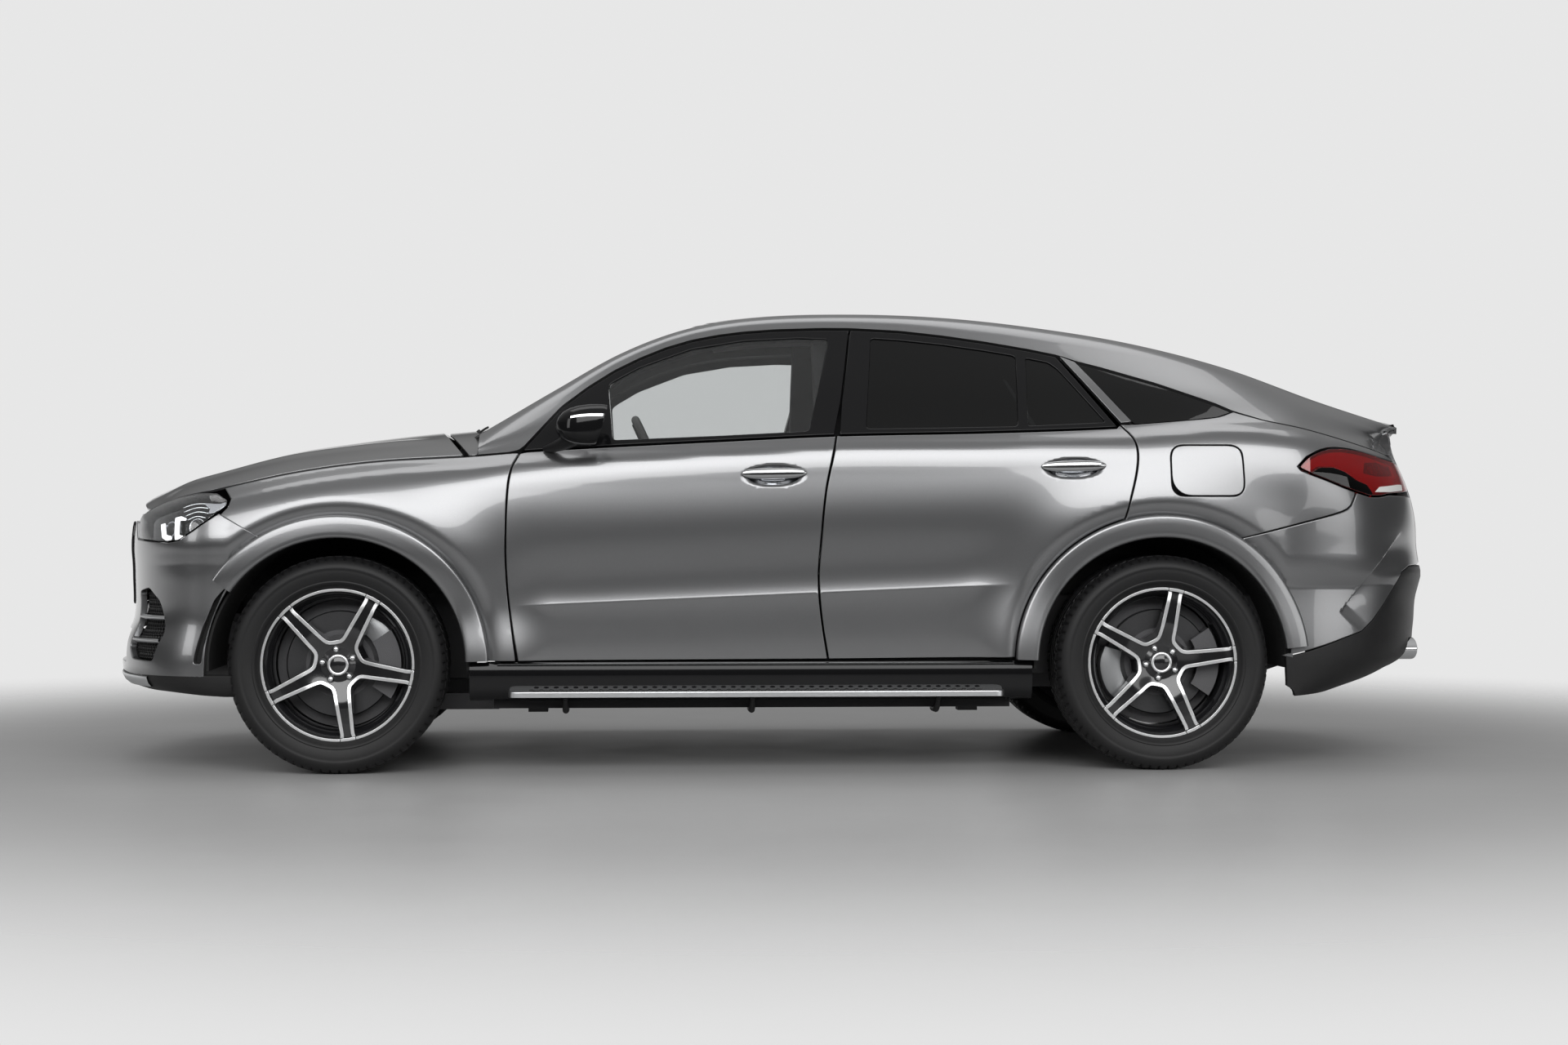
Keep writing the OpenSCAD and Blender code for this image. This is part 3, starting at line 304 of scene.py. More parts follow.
def rail_fillet(u, s):
    """Roof rail: s from 0 at the window line to 1 at the roof joint, rounded over the edge."""
    low = np.interp(u, *np.array(RAIL_FOOT).T)
    rz, ry = read(RAIL, u, 1), read(RAIL, u, 2)
    reach = np.minimum(58, 0.8 * (rz - low))
    za = rz - 0.8 * reach
    ya = side_y(u, za)
    yb = ry - RAIL_EDGE
    zb = rz + 38 * (1 - (yb / ry) ** 2)
    f = np.clip((s - 0.4) / 0.6, 0, 1)
    z_side = low + (za - low) * np.clip(s / 0.4, 0, 1)
    y_arc = (1 - f) ** 2 * ya + 2 * f * (1 - f) * (ry + 1) + f * f * yb
    z_arc = (1 - f) ** 2 * za + 2 * f * (1 - f) * (rz - 1) + f * f * zb
    over = s > 0.4
    return np.stack([FRONT_X - u, np.where(over, y_arc, side_y(u, z_side)), np.where(over, z_arc, z_side)],
        1)


# Lower edge of the roof rail strip: along the fender, the windows and the tail
RAIL_FOOT = [
    (486, 1131), (600, 1140), (640, 1150), *[(u, z + 5) for u, z in WINDOW_TOP[:-1]],
    (2600, 1504), (2670, 1480), (2742, 1462), (2951, 1400), (3160, 1325), (3222, 1296), (3330, 1262),
    (3460, 1235), (3700, 1172), (3830, 1140)]
FLIPPED = {top, bonnet, tail}


def nose_place(u, z):
    """Wrap coordinate on the left of the nose for a point given in side view."""
    share = np.clip((NOSE_START - u) / (read(NOSE, z) + NOSE_START), 0, 1)
    w = np.degrees(np.arcsin(share ** (1 / NOSE_BEND)))
    return np.where(u > NOSE_START, TURN + u - NOSE_START, TURN - WRAP * w)


def tail_place(u, z):
    """Wrap coordinate on the left of the tail for a point given in side view."""
    share = np.clip((u - TAIL_START) / (BASE + read(TAIL, z) - TAIL_START), 0, 1)
    w = np.degrees(np.arcsin(share ** (1 / TAIL_BEND)))
    return np.where(u < TAIL_START, TURN + TAIL_START - u, TURN - WRAP * w)


def placed(points, place):
    """Side-view outline carried to a wrap."""
    a = np.array(points, float)
    return columns(place(a[:, 0], a[:, 1]), a[:, 1])


# Mesh tools


def area(loop):
    """Signed area of a closed outline."""
    x, y = np.asarray(loop, float).T
    return 0.5 * float(np.sum(x * np.roll(y, -1) - y * np.roll(x, -1)))


def resample(loop, gap):
    """Closed outline with its corners kept and no side longer than gap."""
    out = []
    for p, q in zip(loop, np.roll(loop, -1, 0)):
        n = max(1, math.ceil(np.hypot(*(q - p)) / gap))
        out += [p + (q - p) * i / n for i in range(n)]
    return np.array(out)


def rounded(loop, r, n=4):
    """Closed outline with its corners rounded by r."""
    loop = np.asarray(loop, float)
    out = []
    for p, c, q in zip(np.roll(loop, 1, 0), loop, np.roll(loop, -1, 0)):
        a, b = p - c, q - c
        la, lb = np.hypot(*a), np.hypot(*b)
        a = c + a * min(r, 0.45 * la) / la
        b = c + b * min(r, 0.45 * lb) / lb
        out += [(1 - f) ** 2 * a + 2 * f * (1 - f) * c + f * f * b for f in np.linspace(0, 1, n + 1)]
    return np.array(out)


def flowing(points, gap=20.0):
    """Open line of points made into a smooth curve."""
    p = np.asarray(points, float)
    d = chain([0], np.cumsum(np.hypot(*np.diff(p, axis=0).T)))
    s = np.linspace(0, d[-1], max(2, int(d[-1] / gap) + 1))
    return columns(smooth(d, p[:, 0], s), smooth(d, p[:, 1], s))


def inset(loop, d):
    """Outline moved by d to its left."""
    e = np.roll(loop, -1, 0) - loop
    e = e / np.maximum(1e-9, np.hypot(*e.T))[:, None]
    left = columns(-e[:, 1], e[:, 0])
    before = np.roll(left, 1, 0)
    mid = left + before
    scale = np.maximum(0.35, np.sum(mid * left, 1))
    return loop + mid / scale[:, None] * d


def inside(points, loop):
    """Which points lie in a closed outline."""
    x, y = points.T
    hit = np.zeros(len(points), bool)
    for (ax, ay), (bx, by) in zip(loop, np.roll(loop, -1, 0)):
        cross = (ay > y) != (by > y)
        if ay != by:
            hit ^= cross & (x < (bx - ax) * (y - ay) / (by - ay) + ax)
    return hit


def away(points, loop):
    """Distance of points from a densely drawn outline."""
    best = np.full(len(points), 1e9)
    for k in range(0, len(points), 4000):
        d = points[k:k + 4000, None] - loop[None]
        best[k:k + 4000] = np.sqrt((d * d).sum(2).min(1))
    return best


MIRROR = np.diag([1, -1, 1])


class Shape:
    """Gathers points, faces and normals of one piece, in millimetres."""

    def __init__(self):
        self.points, self.normals, self.faces, self.marks = [], [], [], []
        self.count = 0

    def add(self, points, faces, normals=None, mark=0):
        """Adds a part. Parts without normals get theirs from the faces."""
        points = np.asarray(points, float)
        self.points.append(points)
        self.normals.append(np.full(points.shape, np.nan) if normals is None else normals)
        self.faces += [tuple(int(i) + self.count for i in f) for f in faces]
        self.marks += [mark] * len(faces)
        self.count += len(points)
        return self

    def join(self, other, turn=None, move=(0, 0, 0)):
        """Adds a copy of another shape, turned by a 3 x 3 matrix and moved."""
        turn = np.eye(3) if turn is None else np.asarray(turn, float)
        back = np.linalg.det(turn) < 0
        for_points = np.concatenate(other.points) @ turn.T + np.asarray(move, float)
        for_normals = np.concatenate(other.normals) @ turn.T
        base = self.count
        self.points.append(for_points)
        self.normals.append(for_normals)
        self.faces += [tuple(i + base for i in (reversed(f) if back else f)) for f in other.faces]
        self.marks += other.marks
        self.count += len(for_points)
        return self

    def moved(self, turn=None, move=(0, 0, 0)):
        """A turned and moved copy."""
        return Shape().join(self, turn, move)

    def paired(self):
        """This shape and its mirror image."""
        return self.moved().join(self, MIRROR)

    def marked(self, mark):
        """This shape with one material on all its faces."""
        self.marks = [mark] * len(self.faces)
        return self

    def piece(self, name, materials, body, replaces=(), slot=None, crisp=35):
        """Makes the Blender object and puts it on its body."""
        mesh = bpy.data.meshes.new(name)
        mesh.from_pydata((np.concatenate(self.points) * 0.001).tolist(), [], self.faces)
        for material in materials:
            mesh.materials.append(look(material))
        mesh.polygons.foreach_set("material_index", np.array(self.marks, np.int32))
        mesh.shade_smooth()
        normals = np.concatenate(self.normals)
        known = ~np.isnan(normals[:, 0])
        if known.any():
            if not known.all():
                own = np.array([v.vector for v in mesh.vertex_normals])
                normals[~known] = own[~known]
            mesh.normals_split_custom_set_from_vertices(normals.tolist())
        else:
            mesh.set_sharp_from_angle(angle=math.radians(crisp))
        mesh.validate(clean_customdata=False)
        obj = bpy.data.objects.new(name, mesh)
        bpy.context.scene.collection.objects.link(obj)
        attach(obj, body)
        if replaces:
            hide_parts(*([replaces] if isinstance(replaces, str) else replaces))
        return obj


def grid(n, m, closed=False):
    """Quads over n rows of m points; closed joins the last point of each row to its first."""
    return [(i * m + k, (i + 1) * m + k, (i + 1) * m + (k + 1) % m, i * m + (k + 1) % m)
            for i in range(n - 1) for k in range(m if closed else m - 1)]


def unit(v):
    """Rows of v scaled to length 1."""
    return v / np.maximum(1e-9, np.linalg.norm(v, axis=1))[:, None]


def facing(surface, a, b, reach=1.5):
    """Outward normals of a surface."""
    da = surface(a + reach, b) - surface(a - reach, b)
    db = surface(a, b + reach) - surface(a, b - reach)
    n = unit(np.cross(da, db))
    return -n if surface in FLIPPED else n


def panel(surface, outer, holes=(), step=24, depth=14, roll=3.0, back=True, lines=(), lift=0.0, marks=0,
          fine=()):
    """Sheet on a surface inside an outline: rolled edges, walls of the given depth and a back face.
    lines are folds to keep, fine gives spots [outline, step] with closer points, and marks are the materials
    of face, wall and back, or one for all three."""
    marks = (marks,) * 3 if isinstance(marks, int) else marks
    shape = Shape()
    flip = surface in FLIPPED
    loops = []
    for i, loop in enumerate([outer, *holes]):
        loop = np.asarray(loop, float)
        if (area(loop) > 0) != (i == 0):
            loop = loop[::-1]
        loops.append(resample(loop, step * 0.7))

    def at(ab, d=0.0):
        n = facing(surface, ab[:, 0], ab[:, 1])
        return surface(ab[:, 0], ab[:, 1]) + n * (lift - d), n

    inner = [inset(l, roll) for l in loops] if roll else loops
    corner = np.concatenate(inner)
    lo, hi = corner.min(0), corner.max(0)
    seeds = []
    for spot, gap in [(None, step), *fine]:
        box = (lo, hi) if spot is None else (np.min(spot, 0), np.max(spot, 0))
        rows = np.arange(box[0][1] + gap / 2, box[1][1], gap * 0.87)
        cols = np.arange(box[0][0] + gap / 2, box[1][0], gap)
        g = np.array([(c + (k % 2) * gap / 2, r) for k, r in enumerate(rows) for c in cols]).reshape(-1, 2)
        if len(g) and spot is not None:
            g = g[inside(g, np.asarray(spot, float))]
        elif len(g):
            for other, _ in fine:
                g = g[~inside(g, np.asarray(other, float))]
        seeds.append((g, gap))
    for line in lines:
        g = flowing(line, step * 0.6)
        e = np.gradient(g, axis=0)
        e = columns(-e[:, 1], e[:, 0]) / np.maximum(1e-9, np.hypot(*e.T))[:, None]
        seeds[0] = (seeds[0][0][away(seeds[0][0], g) > 16], step)
        seeds += [(g + e * k, 5) for k in (-11, -4, 0, 4, 11)]
    points, edges, used = [], [], 0
    for loop in inner:
        n = len(loop)
        points.append(loop)
        edges += [(used + i, used + (i + 1) % n) for i in range(n)]
        used += n
    bounds = np.concatenate([resample(l, 4) for l in inner])
    for g, gap in seeds:
        if not len(g):
            continue
        g = g[inside(g, inner[0])]
        for hole in inner[1:]:
            g = g[~inside(g, hole)]
        points.append(g[away(g, bounds) > min(gap * 0.5, step * 0.4)])
    points = np.concatenate(points)
    found, _, faces, _, _, _ = delaunay_2d_cdt([Vector(p) for p in points], edges, [], 1, 1e-4)
    found = np.array([tuple(p) for p in found])
    faces = np.array([f for f in faces if len(f) == 3])
    middle = found[faces].mean(1)
    keep = inside(middle, inner[0])
    for hole in inner[1:]:
        keep &= ~inside(middle, hole)
    faces = faces[keep]
    spin = np.cross(found[faces[:, 1]] - found[faces[:, 0]], found[faces[:, 2]] - found[faces[:, 0]])
    faces[spin < 0] = faces[spin < 0][:, ::-1]
    if flip:
        faces = faces[:, ::-1]
    face_points, face_normals = at(found)
    shape.add(face_points, faces, face_normals, marks[0])
    if back:
        shape.add(at(found, depth)[0], faces[:, ::-1], -face_normals, marks[2])
    for loop, edge in zip(loops, inner):
        n = len(loop)
        p0, n0 = at(edge)
        p2, n2 = at(loop, roll)
        out = unit(p2 - p0 + n2 * roll) if roll else unit(at(inset(loop, -3))[0] - p0)
        p1 = p0 + 0.7 * (p2 - p0 + n2 * roll) - n2 * roll * 0.3
        p3 = at(loop, depth)[0]
        rings = [(p0, n0), (p1, unit(n0 + out)), (p2, out), (p3, out)] if roll else [(p0, out), (p3, out)]
        quads = []
        for k in range(len(rings) - 1):
            for i in range(n):
                j = (i + 1) % n
                quad = (k * n + i, (k + 1) * n + i, (k + 1) * n + j, k * n + j)
                quads.append(quad[::-1] if flip else quad)
        cut = 2 * n if roll else 0
        shape.add(np.concatenate([r[0] for r in rings]), quads[:cut], np.concatenate([r[1] for r in rings]),
            marks[0])
        shape.faces += [tuple(i + shape.count - len(rings) * n for i in q) for q in quads[cut:]]
        shape.marks += [marks[1]] * len(quads[cut:])
    return shape


def lathe(profile, n=96, closed=False, spin=None, mark=0):
    """Turned part about its own Z axis from [radius, height]; spin(angle, radius, height) may move points."""
    profile = np.asarray(profile, float)
    a = np.linspace(0, 2 * math.pi, n, endpoint=False)
    m = len(profile)
    r = np.repeat(profile[None, :, 0], n, 0)
    z = np.repeat(profile[None, :, 1], n, 0)
    if spin is not None:
        r, z = spin(a[:, None], r, z)
    points = np.stack([r * np.cos(a)[:, None], r * np.sin(a)[:, None], z], 2).reshape(-1, 3)
    last = m if closed else m - 1
    faces = [(i * m + k, (i + 1) % n * m + k, (i + 1) % n * m + (k + 1) % m, i * m + (k + 1) % m)
             for i in range(n) for k in range(last)]
    return Shape().add(points, faces, None, mark)


def tube(path, r, n=10, mark=0, ends=True):
    """Round bar along a path of points; r may change along it."""
    path = np.asarray(path, float)
    r = np.broadcast_to(r, len(path))
    t = unit(np.gradient(path, axis=0))
    up = np.array([0.0, 0.0, 1.0]) if abs(t[0][2]) < 0.9 else np.array([1.0, 0.0, 0.0])
    x = unit(np.cross(t, up))
    y = np.cross(t, x)
    a = np.linspace(0, 2 * math.pi, n, endpoint=False)
    around = x[:, None] * np.cos(a)[None, :, None] + y[:, None] * np.sin(a)[None, :, None]
    rings = path[:, None] + r[:, None, None] * around
    k = len(path)
    faces = [(a, d, c, b) for a, b, c, d in grid(k, n, True)]
    if ends:
        faces += [tuple(range(n))[::-1], tuple((k - 1) * n + j for j in range(n))]
    return Shape().add(rings.reshape(-1, 3), faces, None, mark)


def plate(outline, holes=(), z0=0.0, z1=10.0, bevel=1.5, step=30, mark=0, dome=None, wall_mark=None):
    """Flat part in its XY plane from z0 up to z1 with bevelled upper edges; dome(x, y) raises the top."""

    def level(a, b):
        return np.stack([a, b, z1 + (0 * a if dome is None else dome(a, b))], 1)

    wall = mark if wall_mark is None else wall_mark
    return panel(level, outline, holes, step, z1 - z0, bevel, True, marks=(mark, wall, wall))


def ring(r, n=48, a0=0.0, a1=360.0):
    """Points round a circle or along its arc."""
    a = np.radians(np.linspace(a0, a1, n, endpoint=a1 - a0 < 359.9))
    return columns(r * np.cos(a), r * np.sin(a))


# Materials


def group(name, inputs, outputs):
    """New shader node group with its input and output sockets."""
    tree = bpy.data.node_groups.new(name, "ShaderNodeTree")
    for label, kind, default in inputs:
        socket = tree.interface.new_socket(label, in_out="INPUT", socket_type="NodeSocket" + kind)
        socket.default_value = default
    for label, kind in outputs:
        tree.interface.new_socket(label, in_out="OUTPUT", socket_type="NodeSocket" + kind)
    return tree, tree.nodes.new("NodeGroupInput"), tree.nodes.new("NodeGroupOutput")


def node(tree, kind, links=(), **values):
    """New node with attributes and socket values set; links are (socket, source socket)."""
    made = tree.nodes.new("ShaderNode" + kind)
    for key, value in values.items():
        if hasattr(made, key):
            setattr(made, key, value)
        else:
            made.inputs[key.replace("_", " ")].default_value = value
    for key, source in links:
        tree.links.new(source, made.inputs[key])
    return made


def maths(tree, operation, *values, clamp=False):
    """Output of a math node; each value is a socket or a number."""
    made = node(tree, "Math", operation=operation, use_clamp=clamp)
    for socket, value in zip(made.inputs, values):
        if isinstance(value, float):
            socket.default_value = value
        else:
            tree.links.new(value, socket)
    return made.outputs[0]


def grain_group():
    """Fine surface grain: a tone from 0 to 1 and a bumped normal."""
    tree, start, end = group(
        "fine_grain",
        [("Scale", "Float", 400.0), ("Bump", "Float", 0.1), ("Stretch", "Vector", (1, 1, 1))],
        [("Tone", "Float"), ("Normal", "Vector")])
    place = node(tree, "TexCoord")
    scaled = node(tree, "VectorMath", [(0, place.outputs["Object"]), (1, start.outputs["Stretch"])],
        operation="MULTIPLY")
    noise = node(tree, "TexNoise", [("Vector", scaled.outputs[0]), ("Scale", start.outputs["Scale"])],
        Detail=3.0, Roughness=0.6)
    bump = node(tree, "Bump", [("Height", noise.outputs["Fac"]), ("Strength", start.outputs["Bump"])],
        Distance=0.002)
    tree.links.new(noise.outputs["Fac"], end.inputs["Tone"])
    tree.links.new(bump.outputs["Normal"], end.inputs["Normal"])
    return tree


def dust_group():
    """Road dust that thins out with height: a colour and a roughness."""
    tree, start, end = group(
        "road_dust",
        [("Color", "Color", (0.5, 0.5, 0.5, 1)), ("Roughness", "Float", 0.4),
         ("Dust", "Float", 0.3), ("Height", "Float", 0.7)],
        [("Color", "Color"), ("Roughness", "Float")])
    spot = node(tree, "NewGeometry")
    split = node(tree, "SeparateXYZ", [(0, spot.outputs["Position"])])
    low = maths(tree, "DIVIDE", split.outputs["Z"], start.outputs["Height"])
    fade = maths(tree, "SUBTRACT", 1.0, low, clamp=True)
    noise = node(tree, "TexNoise", [("Vector", spot.outputs["Position"])], Scale=9.0, Detail=6.0,
        Roughness=0.65)
    patchy = maths(tree, "MULTIPLY", fade, noise.outputs["Fac"])
    amount = maths(tree, "MULTIPLY", patchy, start.outputs["Dust"], clamp=True)
    tint = node(tree, "Mix", [("Factor", amount)], data_type="RGBA")
    tree.links.new(start.outputs["Color"], tint.inputs[6])
    tint.inputs[7].default_value = (0.24, 0.23, 0.22, 1)
    rough = maths(tree, "ADD", amount, start.outputs["Roughness"], clamp=True)
    tree.links.new(tint.outputs[2], end.inputs["Color"])
    tree.links.new(rough, end.inputs["Roughness"])
    return tree


def flake_group():
    """Metal flakes in paint: a colour and a normal that sparkles."""
    tree, start, end = group(
        "metal_flakes",
        [("Color", "Color", (0.3, 0.3, 0.3, 1)), ("Contrast", "Float", 0.2)],
        [("Color", "Color"), ("Normal", "Vector")])
    place = node(tree, "TexCoord")
    cells = node(tree, "TexVoronoi", [("Vector", place.outputs["Object"])], Scale=2600.0)
    tone = node(tree, "SeparateColor", [(0, cells.outputs["Color"])])
    shift = node(tree, "MapRange", [("Value", tone.outputs[0])], To_Min=-1.0, To_Max=1.0)
    gain = maths(tree, "MULTIPLY_ADD", shift.outputs[0], start.outputs["Contrast"], 1.0)
    lit = node(tree, "VectorMath", [(0, start.outputs["Color"]), ("Scale", gain)], operation="SCALE")
    peel = node(tree, "TexNoise", [("Vector", place.outputs["Object"])], Scale=160.0, Detail=2.0)
    bump = node(tree, "Bump", [("Height", peel.outputs["Fac"])], Strength=0.02, Distance=0.002)
    tree.links.new(lit.outputs[0], end.inputs["Color"])
    tree.links.new(bump.outputs["Normal"], end.inputs["Normal"])
    return tree


GROUPS = {}


def place_group(tree, name, **values):
    """Puts a shared node group into a material."""
    if name not in GROUPS:
        GROUPS[name] = {"fine_grain": grain_group, "road_dust": dust_group,
            "metal_flakes": flake_group}[name]()
    made = tree.nodes.new("ShaderNodeGroup")
    made.node_tree = GROUPS[name]
    for key, value in values.items():
        made.inputs[key].default_value = value
    return made


def finish(name, color, roughness=0.4, metallic=0.0, grain=None, vary=0.15, dust=0.0, flakes=0.0, **sockets):
    """Procedural material. grain is (scale, bump, stretch), dust the share of road dust low down."""
    made = bpy.data.materials.new(name)
    made.use_nodes = True
    tree = made.node_tree
    shader = tree.nodes["Principled BSDF"]
    rgba = (*color, 1.0)
    shader.inputs["Base Color"].default_value = rgba
    shader.inputs["Roughness"].default_value = roughness
    shader.inputs["Metallic"].default_value = metallic
    for key, value in sockets.items():
        shader.inputs[key.replace("_", " ")].default_value = value
    source = None
    if flakes:
        spark = place_group(tree, "metal_flakes", Color=rgba, Contrast=flakes)
        source = spark.outputs["Color"]
        tree.links.new(spark.outputs["Normal"], shader.inputs["Normal"])
    if grain:
        scale, bump, stretch = (*grain, (1, 1, 1))[:3]
        fine = place_group(tree, "fine_grain", Scale=scale, Bump=bump, Stretch=stretch)
        tree.links.new(fine.outputs["Normal"], shader.inputs["Normal"])
        if vary:
            mix = node(tree, "Mix", data_type="RGBA")
            mix.inputs[6].default_value = (*[c * (1 - vary) for c in color], 1)
            mix.inputs[7].default_value = (*[min(1, c * (1 + vary)) for c in color], 1)
            tree.links.new(fine.outputs["Tone"], mix.inputs["Factor"])
            source = mix.outputs[2]
            worn = node(tree, "MapRange", [("Value", fine.outputs["Tone"])], To_Min=roughness * 0.85,
                To_Max=min(1, roughness * 1.15))
            tree.links.new(worn.outputs[0], shader.inputs["Roughness"])
    if dust:
        dirt = place_group(tree, "road_dust", Color=rgba, Roughness=roughness, Dust=dust)
        if source:
            tree.links.new(source, dirt.inputs["Color"])
        tree.links.new(dirt.outputs["Roughness"], shader.inputs["Roughness"])
        source = dirt.outputs["Color"]
    if source:
        tree.links.new(source, shader.inputs["Base Color"])
    return made


# Colour, roughness, metallic, grain (scale, bump, stretch), how much the tone varies, other values
RECIPES = {
    "paint": ((0.2, 0.202, 0.206), 0.3, 0.88, None, 0.15,
    dict(flakes=0.12, dust=0.1, Coat_Weight=0.9, Coat_Roughness=0.04)),
    "gloss_black": ((0.006, 0.006, 0.0065), 0.07, 0.0, (90, 0.01), 0.1, dict(Specular_IOR_Level=0.28)),
    "black_plastic": ((0.008, 0.008, 0.0085), 0.42, 0.0, (900, 0.2), 0.2,
    dict(Specular_IOR_Level=0.3, dust=0.1)),
    # cavity: near-black matte; the own black of the wheel liners, the dash screen and the lamp slats, and
    # painted shade on the sheets behind the nose openings and the quarter glass
    "cavity": ((0.006, 0.006, 0.006), 0.8, 0.0, (200, 0.3), 0.2),
    "rubber": ((0.012, 0.012, 0.012), 0.62, 0.0, (500, 0.2), 0.15),
    "tyre": ((0.0085, 0.0085, 0.009), 0.5, 0.0, (350, 0.2), 0.2, dict(dust=0.05, Specular_IOR_Level=0.3)),
    "chrome": ((0.82, 0.83, 0.84), 0.09, 1.0, (60, 0.01), 0.02),
    "dark_chrome": ((0.42, 0.425, 0.43), 0.14, 1.0, (60, 0.01), 0.02),
    "machined": ((0.86, 0.865, 0.87), 0.3, 1.0, (500, 0.05, (1, 1, 1)), 0.05),
    "rim_black": ((0.01, 0.01, 0.011), 0.16, 0.0, (150, 0.02), 0.15,
    dict(Coat_Weight=0.6, Coat_Roughness=0.05)),
    "brushed": ((0.68, 0.69, 0.7), 0.3, 1.0, (60, 0.06, (1, 40, 40)), 0.08),
    "iron": ((0.09, 0.09, 0.095), 0.5, 0.6, (300, 0.3), 0.2, dict(dust=0.3)),
    # disc: steel brake disc given a near-black colour, painted shade for a disc that lies in shade behind the
    # spokes
    "disc": ((0.07, 0.07, 0.072), 0.38, 1.0, (220, 0.1), 0.12),
    "caliper": ((0.28, 0.285, 0.29), 0.4, 0.8, (400, 0.15), 0.12),
    "leather": ((0.035, 0.034, 0.033), 0.5, 0.0, (700, 0.35), 0.2),
    "stitch": ((0.2, 0.2, 0.21), 0.7, 0.0, (900, 0.4), 0.2),
    "carpet": ((0.018, 0.018, 0.019), 0.95, 0.0, (1600, 1.0), 0.4),
    "lining": ((0.3, 0.3, 0.29), 0.9, 0.0, (1200, 0.5), 0.15),
    "trim": ((0.035, 0.035, 0.037), 0.55, 0.0, (1000, 0.4), 0.2),
    "plate": ((0.72, 0.72, 0.7), 0.4, 0.0, (300, 0.05), 0.04),
    "clear_glass": ((0.8, 0.815, 0.815), 0.0, 0.0, None, 0.15, dict(Transmission_Weight=1.0, IOR=1.45)),
    "dark_glass": ((0.008, 0.0085, 0.009), 0.0, 0.0, None, 0.15,
    dict(Transmission_Weight=0.9, IOR=1.45, Specular_IOR_Level=0.2)),
    "lens": ((0.96, 0.97, 0.98), 0.0, 0.0, None, 0.15, dict(Transmission_Weight=1.0, IOR=1.42)),
    "red_lens": ((0.5, 0.01, 0.013), 0.0, 0.0, None, 0.15,
    dict(Transmission_Weight=0.92, IOR=1.45, Coat_Weight=0.5)),
    "red_glow": ((0.5, 0.008, 0.01), 0.3, 0.0, (300, 0.1), 0.2,
    dict(Emission_Color=(0.9, 0.01, 0.01, 1), Emission_Strength=0.07)),
    "lit_bar": ((0.95, 0.96, 1.0), 0.2, 0.0, (100, 0.01), 0.01,
    dict(Emission_Color=(1, 1, 1, 1), Emission_Strength=1.0)),
    "reflector": ((0.55, 0.56, 0.58), 0.14, 1.0, (90, 0.05), 0.05),
    "mirror_glass": ((0.75, 0.77, 0.79), 0.02, 1.0, (40, 0.002), 0.01),
}
MATERIALS = {}


def look(name):
    """Material of that name, made when it is first asked for; the settings give the paint and the leather."""
    if name not in MATERIALS:
        color, roughness, metallic, grain, vary, *more = RECIPES[name]
        color = getattr(bpy.context.scene.vehicle_finish, name, color)
        MATERIALS[name] = finish(name, color, roughness, metallic, grain, vary, **(more[0] if more else {}))
    return MATERIALS[name]


# Settings


class VehicleFinish(bpy.types.PropertyGroup):
    paint: bpy.props.FloatVectorProperty(
        name="Paint", description="Colour of the body paint", subtype="COLOR", size=3, min=0, max=1,
        default=(0.2, 0.202, 0.206))
    leather: bpy.props.FloatVectorProperty(
        name="Leather", description="Colour of the seats", subtype="COLOR", size=3, min=0, max=1,
        default=(0.035, 0.034, 0.033))
    panel_step: bpy.props.FloatProperty(
        name="Panel Step", description="Distance between points on painted panels, in millimetres", min=8,
        max=60, default=22)


class VehicleWheels(bpy.types.PropertyGroup):
    spokes: bpy.props.IntProperty(name="Spokes", description="Spokes in a wheel", min=4, max=9, default=5)
    tread_blocks: bpy.props.IntProperty(
        name="Tread Blocks", description="Tread blocks round a tyre", min=40, max=110, default=72)
    front_turn: bpy.props.FloatProperty(
        name="Front Spokes", description="Angle of the first spoke of the front wheels", subtype="ANGLE",
        default=math.radians(62))
    rear_turn: bpy.props.FloatProperty(
        name="Rear Spokes", description="Angle of the first spoke of the rear wheels", subtype="ANGLE",
        default=math.radians(79))


class VehicleStage(bpy.types.PropertyGroup):
    floor: bpy.props.FloatVectorProperty(
        name="Floor", description="Colour of the floor", subtype="COLOR", size=3, min=0, max=1,
        default=(0.34, 0.34, 0.34))
    camera_place: bpy.props.FloatVectorProperty(
        name="Camera", description="Place of the camera", subtype="TRANSLATION", unit="LENGTH", size=3,
        default=(0.5795, 10.337, 0.888))
    camera_aim: bpy.props.FloatVectorProperty(
        name="Aim", description="Direction that the camera looks in", subtype="DIRECTION", size=3,
        default=(-0.0593, -0.9982, 0.0))
    lens: bpy.props.FloatProperty(
        name="Lens", description="Focal length on a 36 mm wide sensor", subtype="DISTANCE_CAMERA", min=10,
        max=300, default=60.7)


# Painted body


def belt(u0, u1, drop=0.0, gap=40):
    """Points along the lower window line."""
    u = np.linspace(u0, u1, max(2, int(abs(u1 - u0) / gap)))
    return columns(u, read(SHOULDER, u, 1) - drop)


def arch(axle, r, a0, a1, n=26):
    """Points round a wheel arch, angles from straight ahead over the top."""
    a = np.radians(np.linspace(a0, a1, n))
    return columns(axle - r * np.cos(a), AXLE_Z + r * np.sin(a))


def cove_band(axle):
    """Outline of the hollow along a flare, where a panel needs closer points."""
    return chain(arch(axle, FLARE_R - 12, 1, 179, 40), arch(axle, FLARE_R + 96, 179, 1, 40))


def shut(loop, half=GAP / 2):
    """Outline drawn in by half a shut gap."""
    loop = np.asarray(loop, float)
    return inset(loop if area(loop) > 0 else loop[::-1], half)


def lower(line, z):
    """Points of a line under a height."""
    return [p for p in line if p[1] < z]


def upper(line, z):
    """Points of a line over a height."""
    return [p for p in line if p[1] > z]


